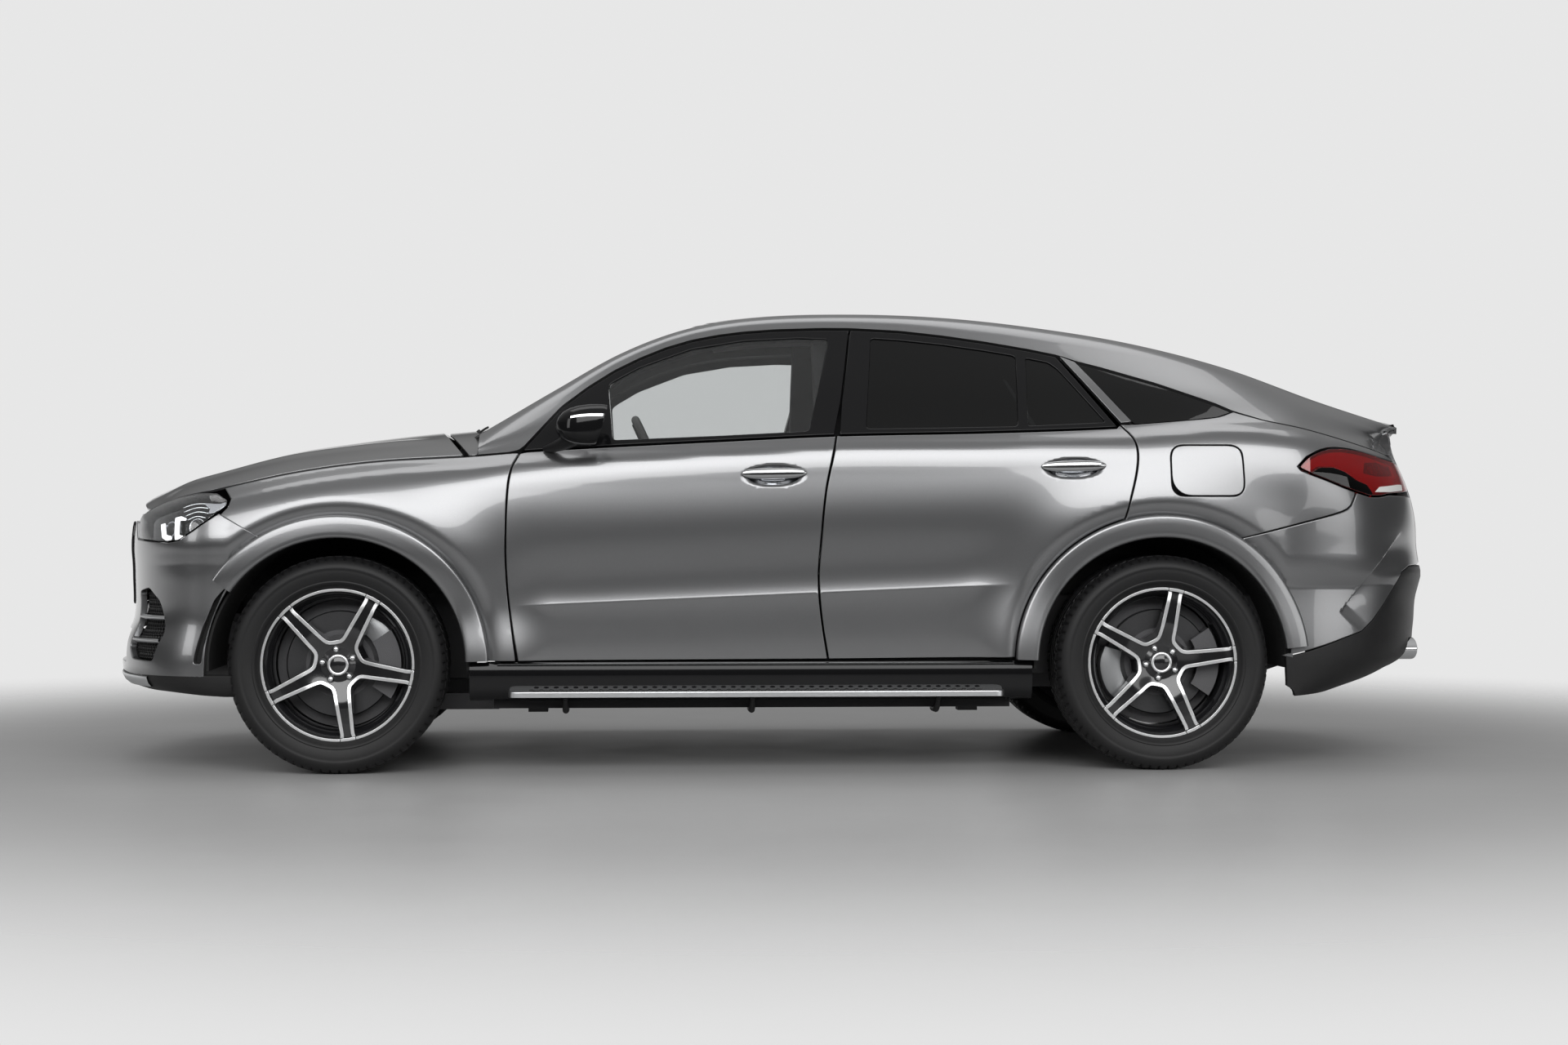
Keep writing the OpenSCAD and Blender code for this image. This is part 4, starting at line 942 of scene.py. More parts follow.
def spot_outline(spot, grow=1.1):
    """Outline of an oval spot."""
    cu, cz, ru, rz, lean = spot
    a = np.radians(np.arange(0, 360, 15))
    return columns(cu + grow * ru * np.cos(a), cz + grow * rz * np.sin(a) + lean * grow * ru * np.cos(a))


LOW_CREASE = [(u, crease_z(u)) for u in range(580, 2480, 60)]


def front_door_skin(step):
    """Painted skin of the left front door."""
    edge = chain(
        flowing(DOOR_FRONT), belt(660, 1756), flowing(lower(DOOR_SPLIT, 1203))[::-1])
    return panel(side, shut(edge), step=step, depth=60, roll=3.5, lines=[LOW_CREASE], marks=(0, 0, 1),
                 fine=[(spot_outline(HANDLES["front"]), 7)])


def rear_door_skin(step):
    """Painted skin of the left rear door."""
    edge = chain(
        flowing(lower(DOOR_SPLIT, 1203)), belt(1784, 2780), flowing(DOOR_REAR)[::-1],
        arch(BASE, FLARE_R + 2, 72, 2))
    return panel(side, shut(edge), step=step, depth=60, roll=3.5, lines=[LOW_CREASE], marks=(0, 0, 1),
                 fine=[(spot_outline(HANDLES["rear"]), 7)])


def front_frame():
    """Window frame of the left front door."""
    edge = chain(
        belt(648, 1760, -2), upper(DOOR_SPLIT, 1203), [p for p in WINDOW_TOP if p[0] < 1830][::-1],
        [(648, 1152)])
    return panel(side, shut(edge), [rounded(FRONT_PANE, 16)], 26, 30, 3, lift=-1.5)


def rear_frame():
    """Window frame of the left rear door."""
    edge = chain(
        belt(1776, 2790, -2), [p for p in WINDOW_TOP if p[0] > 1836][::-1], upper(DOOR_SPLIT, 1203)[::-1])
    return panel(side, shut(edge), [rounded(REAR_PANE, 16), rounded(FIXED_PANE, 12)], 26, 30, 3, lift=-1.5)


def pane(outline, r=14):
    """Side glass inside an outline."""
    return panel(side, shut(rounded(outline, r), 1.0), step=40, depth=4, roll=0, lift=-7)


def fender_skin(step):
    """Left front fender."""
    edge = chain(
        [(-411, 915), (-276, 836)], arch(0, FLARE_R - 3, 58, 178.7, 40)[1:], [(627, 396)],
        flowing(DOOR_FRONT[1:]), belt(620, -410, 1.0, 30), [(-376, 972), (-383, 945)])
    band = chain(belt(-420, 610, -10, 60), belt(610, -420, 120, 60))
    return panel(side, shut(edge, 2), step=step, depth=24, roll=3.5, fine=[(band, 11), (cove_band(0), 12)])


def quarter_skin(step, holes=()):
    """Left rear quarter panel."""
    edge = chain(
        arch(BASE, FLARE_R - 3, 72, 122.5), flowing(BUMPER_LINE)[1:], [(3648, 999)],
        flowing([(3597, 1016), (3530, 1042), (3468, 1064), (3438, 1076)]), [(3427, 1090)],
        flowing([(3461, 1125), (3508, 1148), (3552, 1159), (3604, 1160), (3674, 1151), (3790, 1125),
        (3905, 1112)]),
        [p for p in RAIL_FOOT if p[0] > 3222][::-1],
        flowing([(3222, 1293), (3160, 1273), (3029, 1259), (2850, 1244)]),
        flowing(DOOR_REAR)[::-1])
    return panel(side, shut(edge, 2), holes, step, 24, 3.0, fine=[(cove_band(BASE), 12)])


def pillar_strip():
    """A-pillar, roof rail and C-pillar in one run."""
    u = chain(np.linspace(488, 1300, 46), np.linspace(1325, 3220, 70), np.linspace(3240, 3900, 30))
    s = chain(np.linspace(0, 0.4, 6), np.linspace(0.45, 1, 12))
    a, b = np.meshgrid(u, s, indexing="ij")
    a, b = a.ravel(), b.ravel()
    normals = facing(lambda p, q: rail_fillet(p, np.clip(q / 300, 0, 1)), a, np.clip(b * 300, 2, 298))
    outer = rail_fillet(a, b)
    back = outer - normals * 26
    m = len(s)
    quads = grid(len(u), m)
    shape = Shape().add(outer, quads, normals)
    shape.add(back, [q[::-1] for q in quads], -normals, 1)
    n = len(u)
    ends = list(range(m)), list(range((n - 1) * m, n * m))
    rim = [i * m for i in range(n)], [i * m + m - 1 for i in range(n)], *ends
    for line, flip in zip(rim, (False, True, True, False)):
        p = chain(outer[line], back[line])
        k = len(line)
        faces = [(i, i + k, i + k + 1, i + 1) for i in range(k - 1)]
        shape.add(p, [f[::-1] for f in faces] if flip else faces)
    return shape


def flare_band(axle, a0, a1, n=90):
    """Body-coloured band round a wheel arch with a lip that turns in."""
    a = np.radians(np.linspace(a0, a1, n))
    profile = [(FLARE_R + 3, -6 - COVE), (FLARE_R + 2, -5), (FLARE_R, 1), (FLARE_R - 4, 4),
        (FLARE_R - 10, 5.5), (FLARE_R - 30, 7.5),
               (FLARE_R - 55, 9), (ARCH_R - 2, 9.5), (ARCH_R - 8, 8), (ARCH_R - 12.5, 3), (ARCH_R - 14, -5),
               (ARCH_R - 14, -34)]
    rows = []
    for r, out in profile:
        u, z = axle - r * np.cos(a), AXLE_Z + r * np.sin(a)
        base = axle - FLARE_R * np.cos(a), AXLE_Z + FLARE_R * np.sin(a)
        y = 0.65 * side_y(u, z) + 0.35 * side_y(*base) + COVE + out
        rows.append(np.stack([FRONT_X - u, y, z], 1))
    points = np.stack(rows, 1)
    m = len(profile)
    return Shape().add(points.reshape(-1, 3), [(a, d, c, b) for a, b, c, d in grid(n, m)])


# Lids, glass and bumpers


def span(u0, bow0, u1, bow1, half_width, n=24):
    """Outline seen from above between two bowed cross edges; half_width(u) gives the sides."""
    f = np.linspace(-1, 1, n)
    r = np.linspace(0, 1, n)[1:-1]
    a, b = u0 - bow0 * (1 - f * f), u1 - bow1 * (1 - f * f)
    side_u = u0 + (u1 - u0) * r
    return chain(
        columns(a, f * half_width(a)), columns(side_u, half_width(side_u)),
        columns(b, f * half_width(b))[::-1], columns(side_u, -half_width(side_u))[::-1])


def roof_half(inset_by, table=RAIL):
    """Half width as a function of the station, drawn in from the roof rail or the shoulder."""
    return lambda u: read(table, u, 2) - inset_by


def hood_outline():
    """Hood seen from above."""
    f = np.sin(np.linspace(-90, 90, 40) * math.pi / 180)
    reach = roof_half(12 + GAP, SHOULDER)
    front = -690 - 100 * np.sqrt(np.maximum(0, 1 - f * f))
    rear = 440 - GAP - 116 * (1 - f * f)
    u = np.linspace(-690, 440 - GAP, 40)[1:-1]
    return chain(
        columns(front, f * reach(front)), columns(u, reach(u)),
        columns(rear, f * reach(rear))[::-1], columns(u, -reach(u))[::-1])


def wrap_at(y, z, start, bend):
    """Wrap coordinate for a half width y at height z."""
    y, z = np.asarray(y, float), np.asarray(z, float)
    full = side_y(np.full(z.shape, float(start)), z)
    w = np.degrees(np.arccos(np.clip(np.abs(y) / full, 0, 1) ** (1 / bend)))
    return np.sign(y) * (TURN - WRAP * w)


def on_nose(points):
    """Front-view outline [y, z] carried to the nose wrap."""
    p = resample(np.array(points, float), 40)
    return columns(wrap_at(p[:, 0], p[:, 1], NOSE_START, NOSE_BEND), p[:, 1])


def on_tail(points):
    """Rear-view outline [y, z] carried to the tail wrap."""
    p = resample(np.array(points, float), 40)
    return columns(wrap_at(p[:, 0], p[:, 1], TAIL_START, TAIL_BEND), p[:, 1])


def both_ways(line):
    """Left half of an outline, from the lower to the upper middle, closed with its mirror image."""
    line = np.asarray(line, float)
    return chain(line, (line * [-1, 1])[::-1])


GRILLE = [(-500, 888), (-515, 835), (-432, 592), (432, 592), (515, 835), (500, 888)]
INTAKE = [(-560, 500), (-610, 385), (610, 385), (560, 500)]
SIDE_INTAKE = [(660, 640), (650, 440), (700, 400), (840, 395), (862, 500), (830, 610), (770, 655)]
ARCH_VENT = [(-385, 660), (-430, 612), (-472, 520), (-500, 420), (-505, 392), (-476, 390), (-470, 440),
    (-442, 545), (-398, 642)]


def bumper_skin(step):
    """Front bumper cover round the nose."""
    arch_edge = placed(arch(0, ARCH_R + 3, 2, 61, 24), nose_place)
    lamp = placed([(-411, 920), (-437, 903), (-500, 859), (-555, 823), (-606, 815), (-745, 828)], nose_place)
    left = chain(
        [(0, 352), (300, 350), (620, 340)], placed([(-640, 325), (-520, 316), (-466, 316)], nose_place),
        arch_edge,
        placed([(-270, 838)], nose_place), lamp,
        on_nose([(585, 893), (590, 893), (300, 897), (290, 897)])[:3], [(0, 899)])
    holes = [rounded(on_nose(GRILLE), 30), rounded(on_nose(INTAKE), 25)]
    cuts = [rounded(on_nose(SIDE_INTAKE), 25), rounded(placed(ARCH_VENT, nose_place), 12)]
    for c in cuts:
        holes += [c, c * [-1, 1]]
    return panel(nose, both_ways(left), holes, step, 22, 3.5)


def wrap_band(surface, t, rows, mark=0):
    """Strip along a wrap: rows of [height, stand-off] for every t, open at the back."""
    points = []
    for z, out in rows:
        zz = np.full(len(t), float(z))
        points.append(surface(t, zz) + facing(surface, t, zz) * out)
    m = len(rows)
    p = np.stack(points, 1).reshape(-1, 3)
    faces = grid(len(t), m)
    if (surface in FLIPPED) != (rows[0][0] > rows[-1][0]):
        faces = [f[::-1] for f in faces]
    return Shape().add(p, faces, None, mark)


def mesh_insert(surface, outline, pitch=26, bar=3.2, depth=-16, mark=0):
    """Honeycomb of thin bars behind an opening."""
    outline = np.asarray(outline, float)
    lo, hi = outline.min(0), outline.max(0)
    shape = Shape()
    dz = pitch * 0.5
    rows = np.arange(lo[1] - pitch, hi[1] + pitch, dz * 1.5)
    for k, z in enumerate(rows):
        for t in np.arange(lo[0] - pitch, hi[0] + pitch, pitch * 0.87):
            c = np.array([t + (k % 2) * pitch * 0.435, z])
            for a in (90, 210, 330):
                d = np.array([math.cos(math.radians(a)), math.sin(math.radians(a))]) * pitch * 0.5
                ends = np.array([c, c + d])
                if not inside(ends, outline).all():
                    continue
                side_step = np.array([-d[1], d[0]]) / np.hypot(*d) * bar / 2
                q = np.array([ends[0] - side_step, ends[0] + side_step, ends[1] + side_step,
                    ends[1] - side_step])
                n = facing(surface, q[:, 0], q[:, 1])
                p = surface(q[:, 0], q[:, 1])
                face = chain(p + n * depth, p + n * (depth - 9))
                shape.add(face, [(0, 3, 2, 1), (0, 1, 5, 4), (2, 3, 7, 6), (1, 2, 6, 5), (3, 0, 4, 7)], None,
                    mark)
    return shape


def gate_window():
    """Outline of the liftgate's window."""
    return rounded(resample(np.array([(3020, 470), (3560, 455), (3560, -455), (3020, -470)], float), 60), 45)


def gate_skins(step):
    """Liftgate: sloping upper part round the window and the upright lower part."""
    high = panel(top, span(GATE_TOP + GAP, 24, GATE_END, -14, roof_half(RAIL_EDGE + GAP)), [gate_window()],
        step, 26, 3.5)
    left = on_tail([(1, 737), (586, 737), (588, 980), (575, 1229), (1, 1237)])
    left = left[(left[:, 0] > 40) | (left[:, 1] < 738) | (left[:, 1] > 1236)]
    low = panel(tail, both_ways(left), step=step, depth=40, roll=4)
    return high.join(low)


def spoiler_lip():
    """Duck-tail lip that joins the sloping and the upright part of the liftgate."""
    y = np.linspace(-552, 552, 57)
    f = y / 552
    ease = 1 - np.abs(f) ** 6
    end = GATE_END + 14 * (1 - f * f)
    rows = []
    for back, rise in [(-90, -1), (-60, 1), (-30, 5), (-8, 9)]:
        rows.append(top(np.minimum(end + back, 3899),
            y) + np.stack([0 * y - max(0, back + 9), 0 * y, rise * ease], 1))
    for z, out, rise in [(1240, 10, 8), (1240, 15, 2), (1232, 14, 0), (1218, 7, 0), (1200, 1.5, 0),
        (1180, -2, 0)]:
        zz = np.full(len(y), min(1238.0, z))
        t = wrap_at(y + 1e-3, zz, TAIL_START, TAIL_BEND)
        rows.append(tail(t, zz) + np.stack([-out * ease - 1, 0 * y, rise * ease], 1))
    m = len(rows)
    p = np.stack(rows, 1).reshape(-1, 3)
    return Shape().add(p, grid(len(y), m))


def rear_bumper_skin(step):
    """Painted rear bumper round the tail, between the quarter panels and the dark valance."""
    gate = on_tail([(594, 731), (594, 975)])
    left = chain(
        placed(VALANCE_LINE, tail_place)[::-1], placed(arch(BASE, ARCH_R + 3, 177, 124, 20), tail_place),
        placed(flowing(BUMPER_LINE), tail_place),
        placed([(3650, 996), (3706, 981), (3750, 981), (3796, 989)], tail_place),
        [(wrap_at([594.0], [985.0], TAIL_START, TAIL_BEND)[0], 985)], gate[1:2], gate[0:1])
    fold = placed([(SLASH[0][0] + k * 18.75, SLASH[0][1] + k * 20.4) for k in range(13)], tail_place)
    return panel(tail, shut(left, 1.5), step=step, depth=22, roll=3.5, lines=[fold],
                 fine=[(placed([(3562, 570), (3600, 500), (3690, 512), (3790, 625), (3872, 735), (3885, 850),
                 (3825, 870), (3790, 830)], tail_place), 8)])


def valance_skin(step):
    """Dark valance round the tail with openings for the plate and the tips."""
    left = chain(
        [(0, 320), (300, 322)], placed([(3860, 372), (3781, 338), (3705, 310), (3549, 270), (3420, 262)],
        tail_place),
        placed([(3388, 300), (3383, 405)], tail_place), placed(VALANCE_LINE, tail_place)[1:], [(0, 727)])
    plate_hole = on_tail([(-262, 503), (262, 503), (262, 617), (-262, 617)])
    tip = on_tail([(498, 378), (662, 378), (662, 458), (498, 458)])
    holes = [plate_hole, rounded(tip, 20), rounded(tip * [-1, 1], 20)]
    return panel(tail, both_ways(left), holes, step, 20, 3.0)


def scuttle(step):
    """Painted ledge between the hood and the windscreen."""
    f = np.linspace(-1, 1, 33)
    front, rear = 440 + 14 - 116 * (1 - f * f), 484 + 0 * f
    reach = roof_half(24, SHOULDER)
    edge = chain(columns(front, f * reach(front)), columns(rear, f * reach(rear))[::-1])
    return panel(bonnet, edge, step=step, depth=9, roll=3, lift=-4)


# Wheels


def spoke_window(spokes, rim=261.0):
    """Opening between two spokes, the first spoke straight along X."""
    turn = 2 * math.pi / spokes
    a0 = math.asin(26.0 / rim)
    arc = [(rim * math.cos(a), rim * math.sin(a)) for a in np.linspace(a0, turn - a0, 16)]
    c, s = math.cos(turn), math.sin(turn)
    inner = np.array([(86.0, 33.0)])
    other = np.array([(inner[0][0] * c + inner[0][1] * s, inner[0][0] * s - inner[0][1] * c)])
    mid = 88.0 * np.array([[math.cos(turn / 2 + k), math.sin(turn / 2 + k)] for k in (0.08, -0.08)])
    return chain(arc, other, mid, inner)


def wheel_face(x, y):
    """Crown of the wheel face: low at the hub."""
    r = np.hypot(x, y)
    return -24 * step_up(r, 150, 40) - 4 * step_up(r, 215, 268)


def offset_path(path, d):
    """Open line moved by d to its left."""
    e = np.gradient(path, axis=0)
    e = e / np.maximum(1e-9, np.hypot(*e.T))[:, None]
    return path + columns(-e[:, 1], e[:, 0]) * d


def turned(points, a):
    """Points in the plane turned by an angle."""
    return np.asarray(points) @ np.array([[math.cos(a), math.sin(a)], [-math.sin(a), math.cos(a)]])


def wheel(spokes):
    """Rim, spokes, hub and bolts about Z, outer side up, wheel middle at Z = 0."""
    rim = lathe([(236, -118), (262, -121), (269, -121), (271, -117), (268, -112), (254, -108), (240, -60),
        (236, 20),
                 (244, 70), (255, 96), (260, 103), (266, 110), (270, 113), (271.5, 109), (270, 100)], 120)
    rim.join(lathe([(234, -118), (232, -60), (229, 20), (236, 68), (247, 90), (256, 98)][::-1], 120))
    part = 2 * math.pi / spokes
    window = rounded(spoke_window(spokes), 20, 6)
    rim.join(plate(ring(262, 120), [turned(window, part * k) for k in range(spokes)], 56, 104, 3, 14, 0,
        wheel_face))
    far = np.hypot(*window.T)
    first = int(np.argmax((far < 260) & (np.roll(far, 1) >= 260)))
    run, reach = np.roll(window, -first, 0), np.roll(far, -first)
    path = flowing(run[:int(np.argmax(reach >= 260))], 6)
    strip = chain(offset_path(path, -1.5), offset_path(path, -14.5)[::-1])
    strip = strip if area(strip) > 0 else strip[::-1]
    gap = math.asin(29.0 / 266)
    arc = np.linspace(gap, part - gap, 26)
    lip = np.concatenate([columns(r * np.cos(t), r * np.sin(t)) for r,
        t in ((260.5, arc[::-1]), (270, arc))])
    cap = [(258, -26.5), (268.5, -27), (270.5, 0), (268.5, 27), (258, 26.5), (259, 0)]
    for k in range(spokes):
        rim.join(plate(turned(strip, part * k), (), 98, 107, 1.6, 16, 1, wheel_face, 0))
        rim.join(plate(turned(lip, part * k), (), 104, 114, 1.4, 16, 1, None, 0))
        rim.join(plate(turned(cap, part * k), (), 98, 114.5, 1.4, 16, 1, None, 0))
    rim.join(lathe([(70, 60), (70, 76), (66, 82), (44, 84), (40, 90), (38, 91)][::-1], 60))
    rim.join(lathe([(38, 90), (37.5, 94), (35, 96), (29, 96), (27, 93)][::-1], 60, mark=1))
    rim.join(lathe([(27.5, 92), (20, 95), (10, 96.4), (0.01, 97)][::-1], 60))
    for k in range(5):
        c = np.append(turned([(56.0, 0)], part * (k + 0.5))[0], 0)
        rim.join(lathe([(15, 78), (14, 85), (12, 86), (11.2, 80)][::-1], 24), move=c)
        rim.join(lathe([(10, 78), (10, 88), (8.4, 92), (4, 94), (0.01, 94.5)][::-1], 18, mark=2), move=c)
    return rim.join(tube([(226, 18, 74), (222, 19, 84), (219, 19.5, 92)], [4, 3.2, 2.8], 8, 0))


def tyre(blocks):
    """Tyre with ribs, tread blocks and a plain sidewall, about Z."""
    r, seat = 385.0, 271.5
    half = [(seat - 14, 104), (seat - 2, 112), (seat + 6, 118), (seat + 12, 126), (seat + 16, 131),
        (seat + 22, 133),
            (seat + 26, 131.5), (seat + 34, 134), (seat + 48, 136.6), (seat + 60, 137.2), (seat + 66, 136.6),
            (seat + 68, 137.6),
            (seat + 74, 137.4), (seat + 82, 135), (seat + 90, 130.5), (seat + 97, 124), (seat + 103, 116),
            (seat + 107.5, 108),
            (seat + 110, 100), (seat + 111.5, 92)]
    ribs = []
    for w0, w1 in [(92, 68), (58, 22), (12, -12)]:
        ribs += [(r - 1.0, w0), (r - 0.2, w0 - 2), (r, (w0 + w1) / 2), (r - 0.2, w1 + 2), (r - 1.0, w1)]
        if w1 > 0:
            ribs += [(r - 8, w1 - 1.5), (r - 8, w1 - 8.5)]
    full = np.array(half + ribs[:-2] + [(r - 0.2, -10), (r - 1, -12)] +
                    [(a, -b) for a, b in reversed(half + ribs[:-5])])

    def cut(a, rr, zz):
        pitch = a * blocks / (2 * math.pi) + 0.012 * np.abs(zz)
        slot = (pitch % 1.0) < 0.2
        shoulder = (np.abs(zz) > 60) & (np.abs(zz) < 118) & (rr > r - 14)
        middle = (np.abs(zz) > 22) & (np.abs(zz) < 60) & (rr > r - 2) & ((pitch * 0.5 % 1.0) < 0.1)
        return rr - np.where(slot & shoulder, 7.0, 0) - np.where(middle, 5.0, 0), zz + 0 * rr

    return lathe(full, blocks * 5, closed=True, spin=cut)


def brake():
    """Disc 0 with its hub and dust shield 1 about Z, outer side up."""
    disc = lathe([(120, 12), (186, 12), (190, 9), (190, -14), (186, -18), (112, -18)][::-1], 96)
    disc.join(lathe([(36, 44), (70, 44), (84, 40), (92, 26), (104, 13), (121, 13)][::-1], 72, mark=1))
    disc.join(lathe([(60, -26), (200, -30), (226, -34), (226, -37), (200, -33), (60, -29)][::-1], 72,
        mark=1))
    return disc


def caliper():
    """Brake caliper that straddles the disc rim, about Z, centred on +X."""
    a = np.radians(np.linspace(-31, 31, 25))
    profile = [(128, -34), (214, -34), (217, -20), (217, 22), (212, 34), (196, 40), (160, 40), (140, 34),
        (140, 20), (197, 20), (198, -22), (128, -24)]
    m = len(profile)
    p = []
    for k, t in enumerate(a):
        ease = 1 - 0.12 * abs(math.sin(t / a[-1] * math.pi / 2)) ** 6
        p += [((r - 128) * ease + 128) * np.array([math.cos(t), math.sin(t), 0]) + np.array([0, 0, z]) for r,
            z in profile]
    faces = grid(len(a), m, True)
    faces += [tuple(range(m)), tuple((len(a) - 1) * m + k for k in range(m))[::-1]]
    return Shape().add(p, faces)


def on_wheel(x, y, spin=0.0):
    """Matrix and place that put a part made about Z onto an axle, outer side away from the middle."""
    s = 1 if y > 0 else -1
    c, n = math.cos(spin), math.sin(spin)
    about = np.array([[c, -n, 0], [n, c, 0], [0, 0, 1]])
    return np.array([[-s, 0, 0], [0, 0, s], [0, 1, 0]]) @ about, (x, y, AXLE_Z)


# Lamps, trim and mirrors


def tray(surface, outline, depth, step=30):
    """Open tray behind a lens: walls that face inward (mark 1) and a floor (mark 0)."""
    outline = np.asarray(outline, float)
    if area(outline) < 0:
        outline = outline[::-1]
    loop = resample(outline, step)
    n = len(loop)
    normals = facing(surface, *loop.T)
    rim, foot = surface(*loop.T) - normals * 3, surface(*loop.T) - normals * depth
    walls = [(i, (i + 1) % n, (i + 1) % n + n, i + n) for i in range(n)]
    if surface in FLIPPED:
        walls = [w[::-1] for w in walls]
    shape = Shape().add(chain(rim, foot), walls, None, 1)
    return shape.join(panel(surface, loop, step=step, depth=3, roll=0, lift=-depth, marks=0))


def bar_on(surface, points, out, r, mark=0, n=8, gap=12):
    """Round bar laid along a line on a surface, raised by out."""
    line = flowing(points, gap)
    path = surface(*line.T) + facing(surface, *line.T) * out
    return tube(path, r, n, mark)


LIT_BARS = [
    [(-640, 884), (-620, 888), (-614, 846), (-592, 842), (-590, 828), (-614, 824), (-632, 834)],
    [(-580, 908), (-556, 914), (-534, 906), (-536, 898), (-560, 898), (-560, 846), (-536, 842), (-534, 832),
    (-578, 827)]]
LAMP_WEDGE = [(-470, 962), (-412, 958), (-388, 966), (-393, 950), (-430, 925), (-452, 922), (-446, 940)]


def head_lamp():
    """Left head lamp: lens 0, black tray 1, lit bars 2, bright parts 3, dark ribs 4."""
    outline = rounded(placed(HEAD_LAMP, nose_place), 16)
    lamp = panel(nose, shut(outline, 1.5), step=30, depth=4, roll=1.5, lift=-1)
    lamp.join(tray(nose, shut(outline, 3), 34).marked(1))
    for bar in LIT_BARS:
        lamp.join(panel(nose, rounded(placed(bar, nose_place), 6), step=14, depth=12, roll=1.5, lift=-12,
            marks=(2, 3, 3)))
    lamp.join(panel(nose, rounded(placed(LAMP_WEDGE, nose_place), 5), step=16, depth=14, roll=1.5, lift=-9,
        marks=3))
    for k in range(4):
        z = 980 - 18 * k
        line = placed([(-560 + 6 * k, z - 26), (-500, z - 8), (-424 - 14 * k, z - 14)], nose_place)
        lamp.join(bar_on(nose, line, -24, 2.2, 4))
    for u, z in [(-612, 868), (-500, 880)]:
        t = nose_place(np.array([u]), np.array([z]))
        c, n = nose(t, np.array([float(z)]))[0], facing(nose, t, np.array([float(z)]))[0]
        x = unit(np.cross([[0, 0, 1.0]], [n]))[0]
        turn = columns(x, np.cross(n, x), n)
        lamp.join(lathe([(31, -4), (31, 2), (28, 4), (26, 0)], 36, mark=3), turn, c - n * 30)
        lamp.join(lathe([(26, 0), (20, 7), (10, 11), (0.01, 12)], 36), turn, c - n * 30)
    return lamp


# Lower front part of the tail lamp in dark glass: painted shade on the lamp's lower side
PAINTED_SHADE_LENS = [(3474, 1066), (3597, 1020), (3706, 987), (3722, 990), (3696, 1024), (3652, 1040), (3606, 1070),
    (3560, 1086), (3505, 1086)]
WHITE_STRIP = [(3728, 998), (3752, 1018), (3850, 1027), (3880, 1027), (3880, 1005), (3800, 998)]
SLATS = [(3690, 1068), (3700, 1108), (3760, 1112), (3836, 1090), (3840, 1062), (3760, 1058)]


def tail_lamp():
    """Left tail lamp: red lens 0, tray 1, dark-glass lower part 2 as painted shade, white strip 3, red glow 4,
    dark slats 5.
    """
    end = wrap_at([598.0, 598.0], [1104.0, 1004.0], TAIL_START, TAIL_BEND)
    outline = chain(
        placed(TAIL_LAMP[:7], tail_place), [(end[0], 1104), (end[1], 1004)],
        placed(TAIL_LAMP[7:], tail_place))
    outline = shut(rounded(outline, 16), 1.5)
    shade_lens, strip = rounded(placed(PAINTED_SHADE_LENS, tail_place), 8), rounded(placed(WHITE_STRIP, tail_place), 6)
    lamp = panel(tail, outline, [shade_lens, strip], 18, 5, 1.5)
    lamp.join(tray(tail, inset(outline, 2), 30).marked(1))
    lamp.join(panel(tail, shut(shade_lens, 0.5), step=18, depth=5, roll=1.0, marks=2))
    lamp.join(panel(tail, shut(strip, 0.5), step=18, depth=8, roll=1.2, lift=1, marks=3))
    lamp.join(panel(tail, inset(outline, 9), [shut(shade_lens, -6), rounded(placed(SLATS, tail_place), 10)], 20,
        4, 1.0,
                    lift=-13, marks=4))
    for k in range(9):
        u = 3702 + 15 * k
        line = placed([(u, 1108 - 1.4 * k), (u + 12, 1064)], tail_place)
        lamp.join(bar_on(tail, line, -12, 2.8, 5, 6))
    return lamp


def painted_shade_backing(outline, deep, step):
    """Dark sheet 1 behind an opening in the nose: painted shade where the inside of the nose lies in shade."""
    return panel(nose, outline, step=step, depth=3, roll=0, lift=-deep, marks=1)


def grille_half(z):
    """Half width of the grille opening at a height."""
    return np.interp(z, [592, 835, 888], [432, 515, 500])


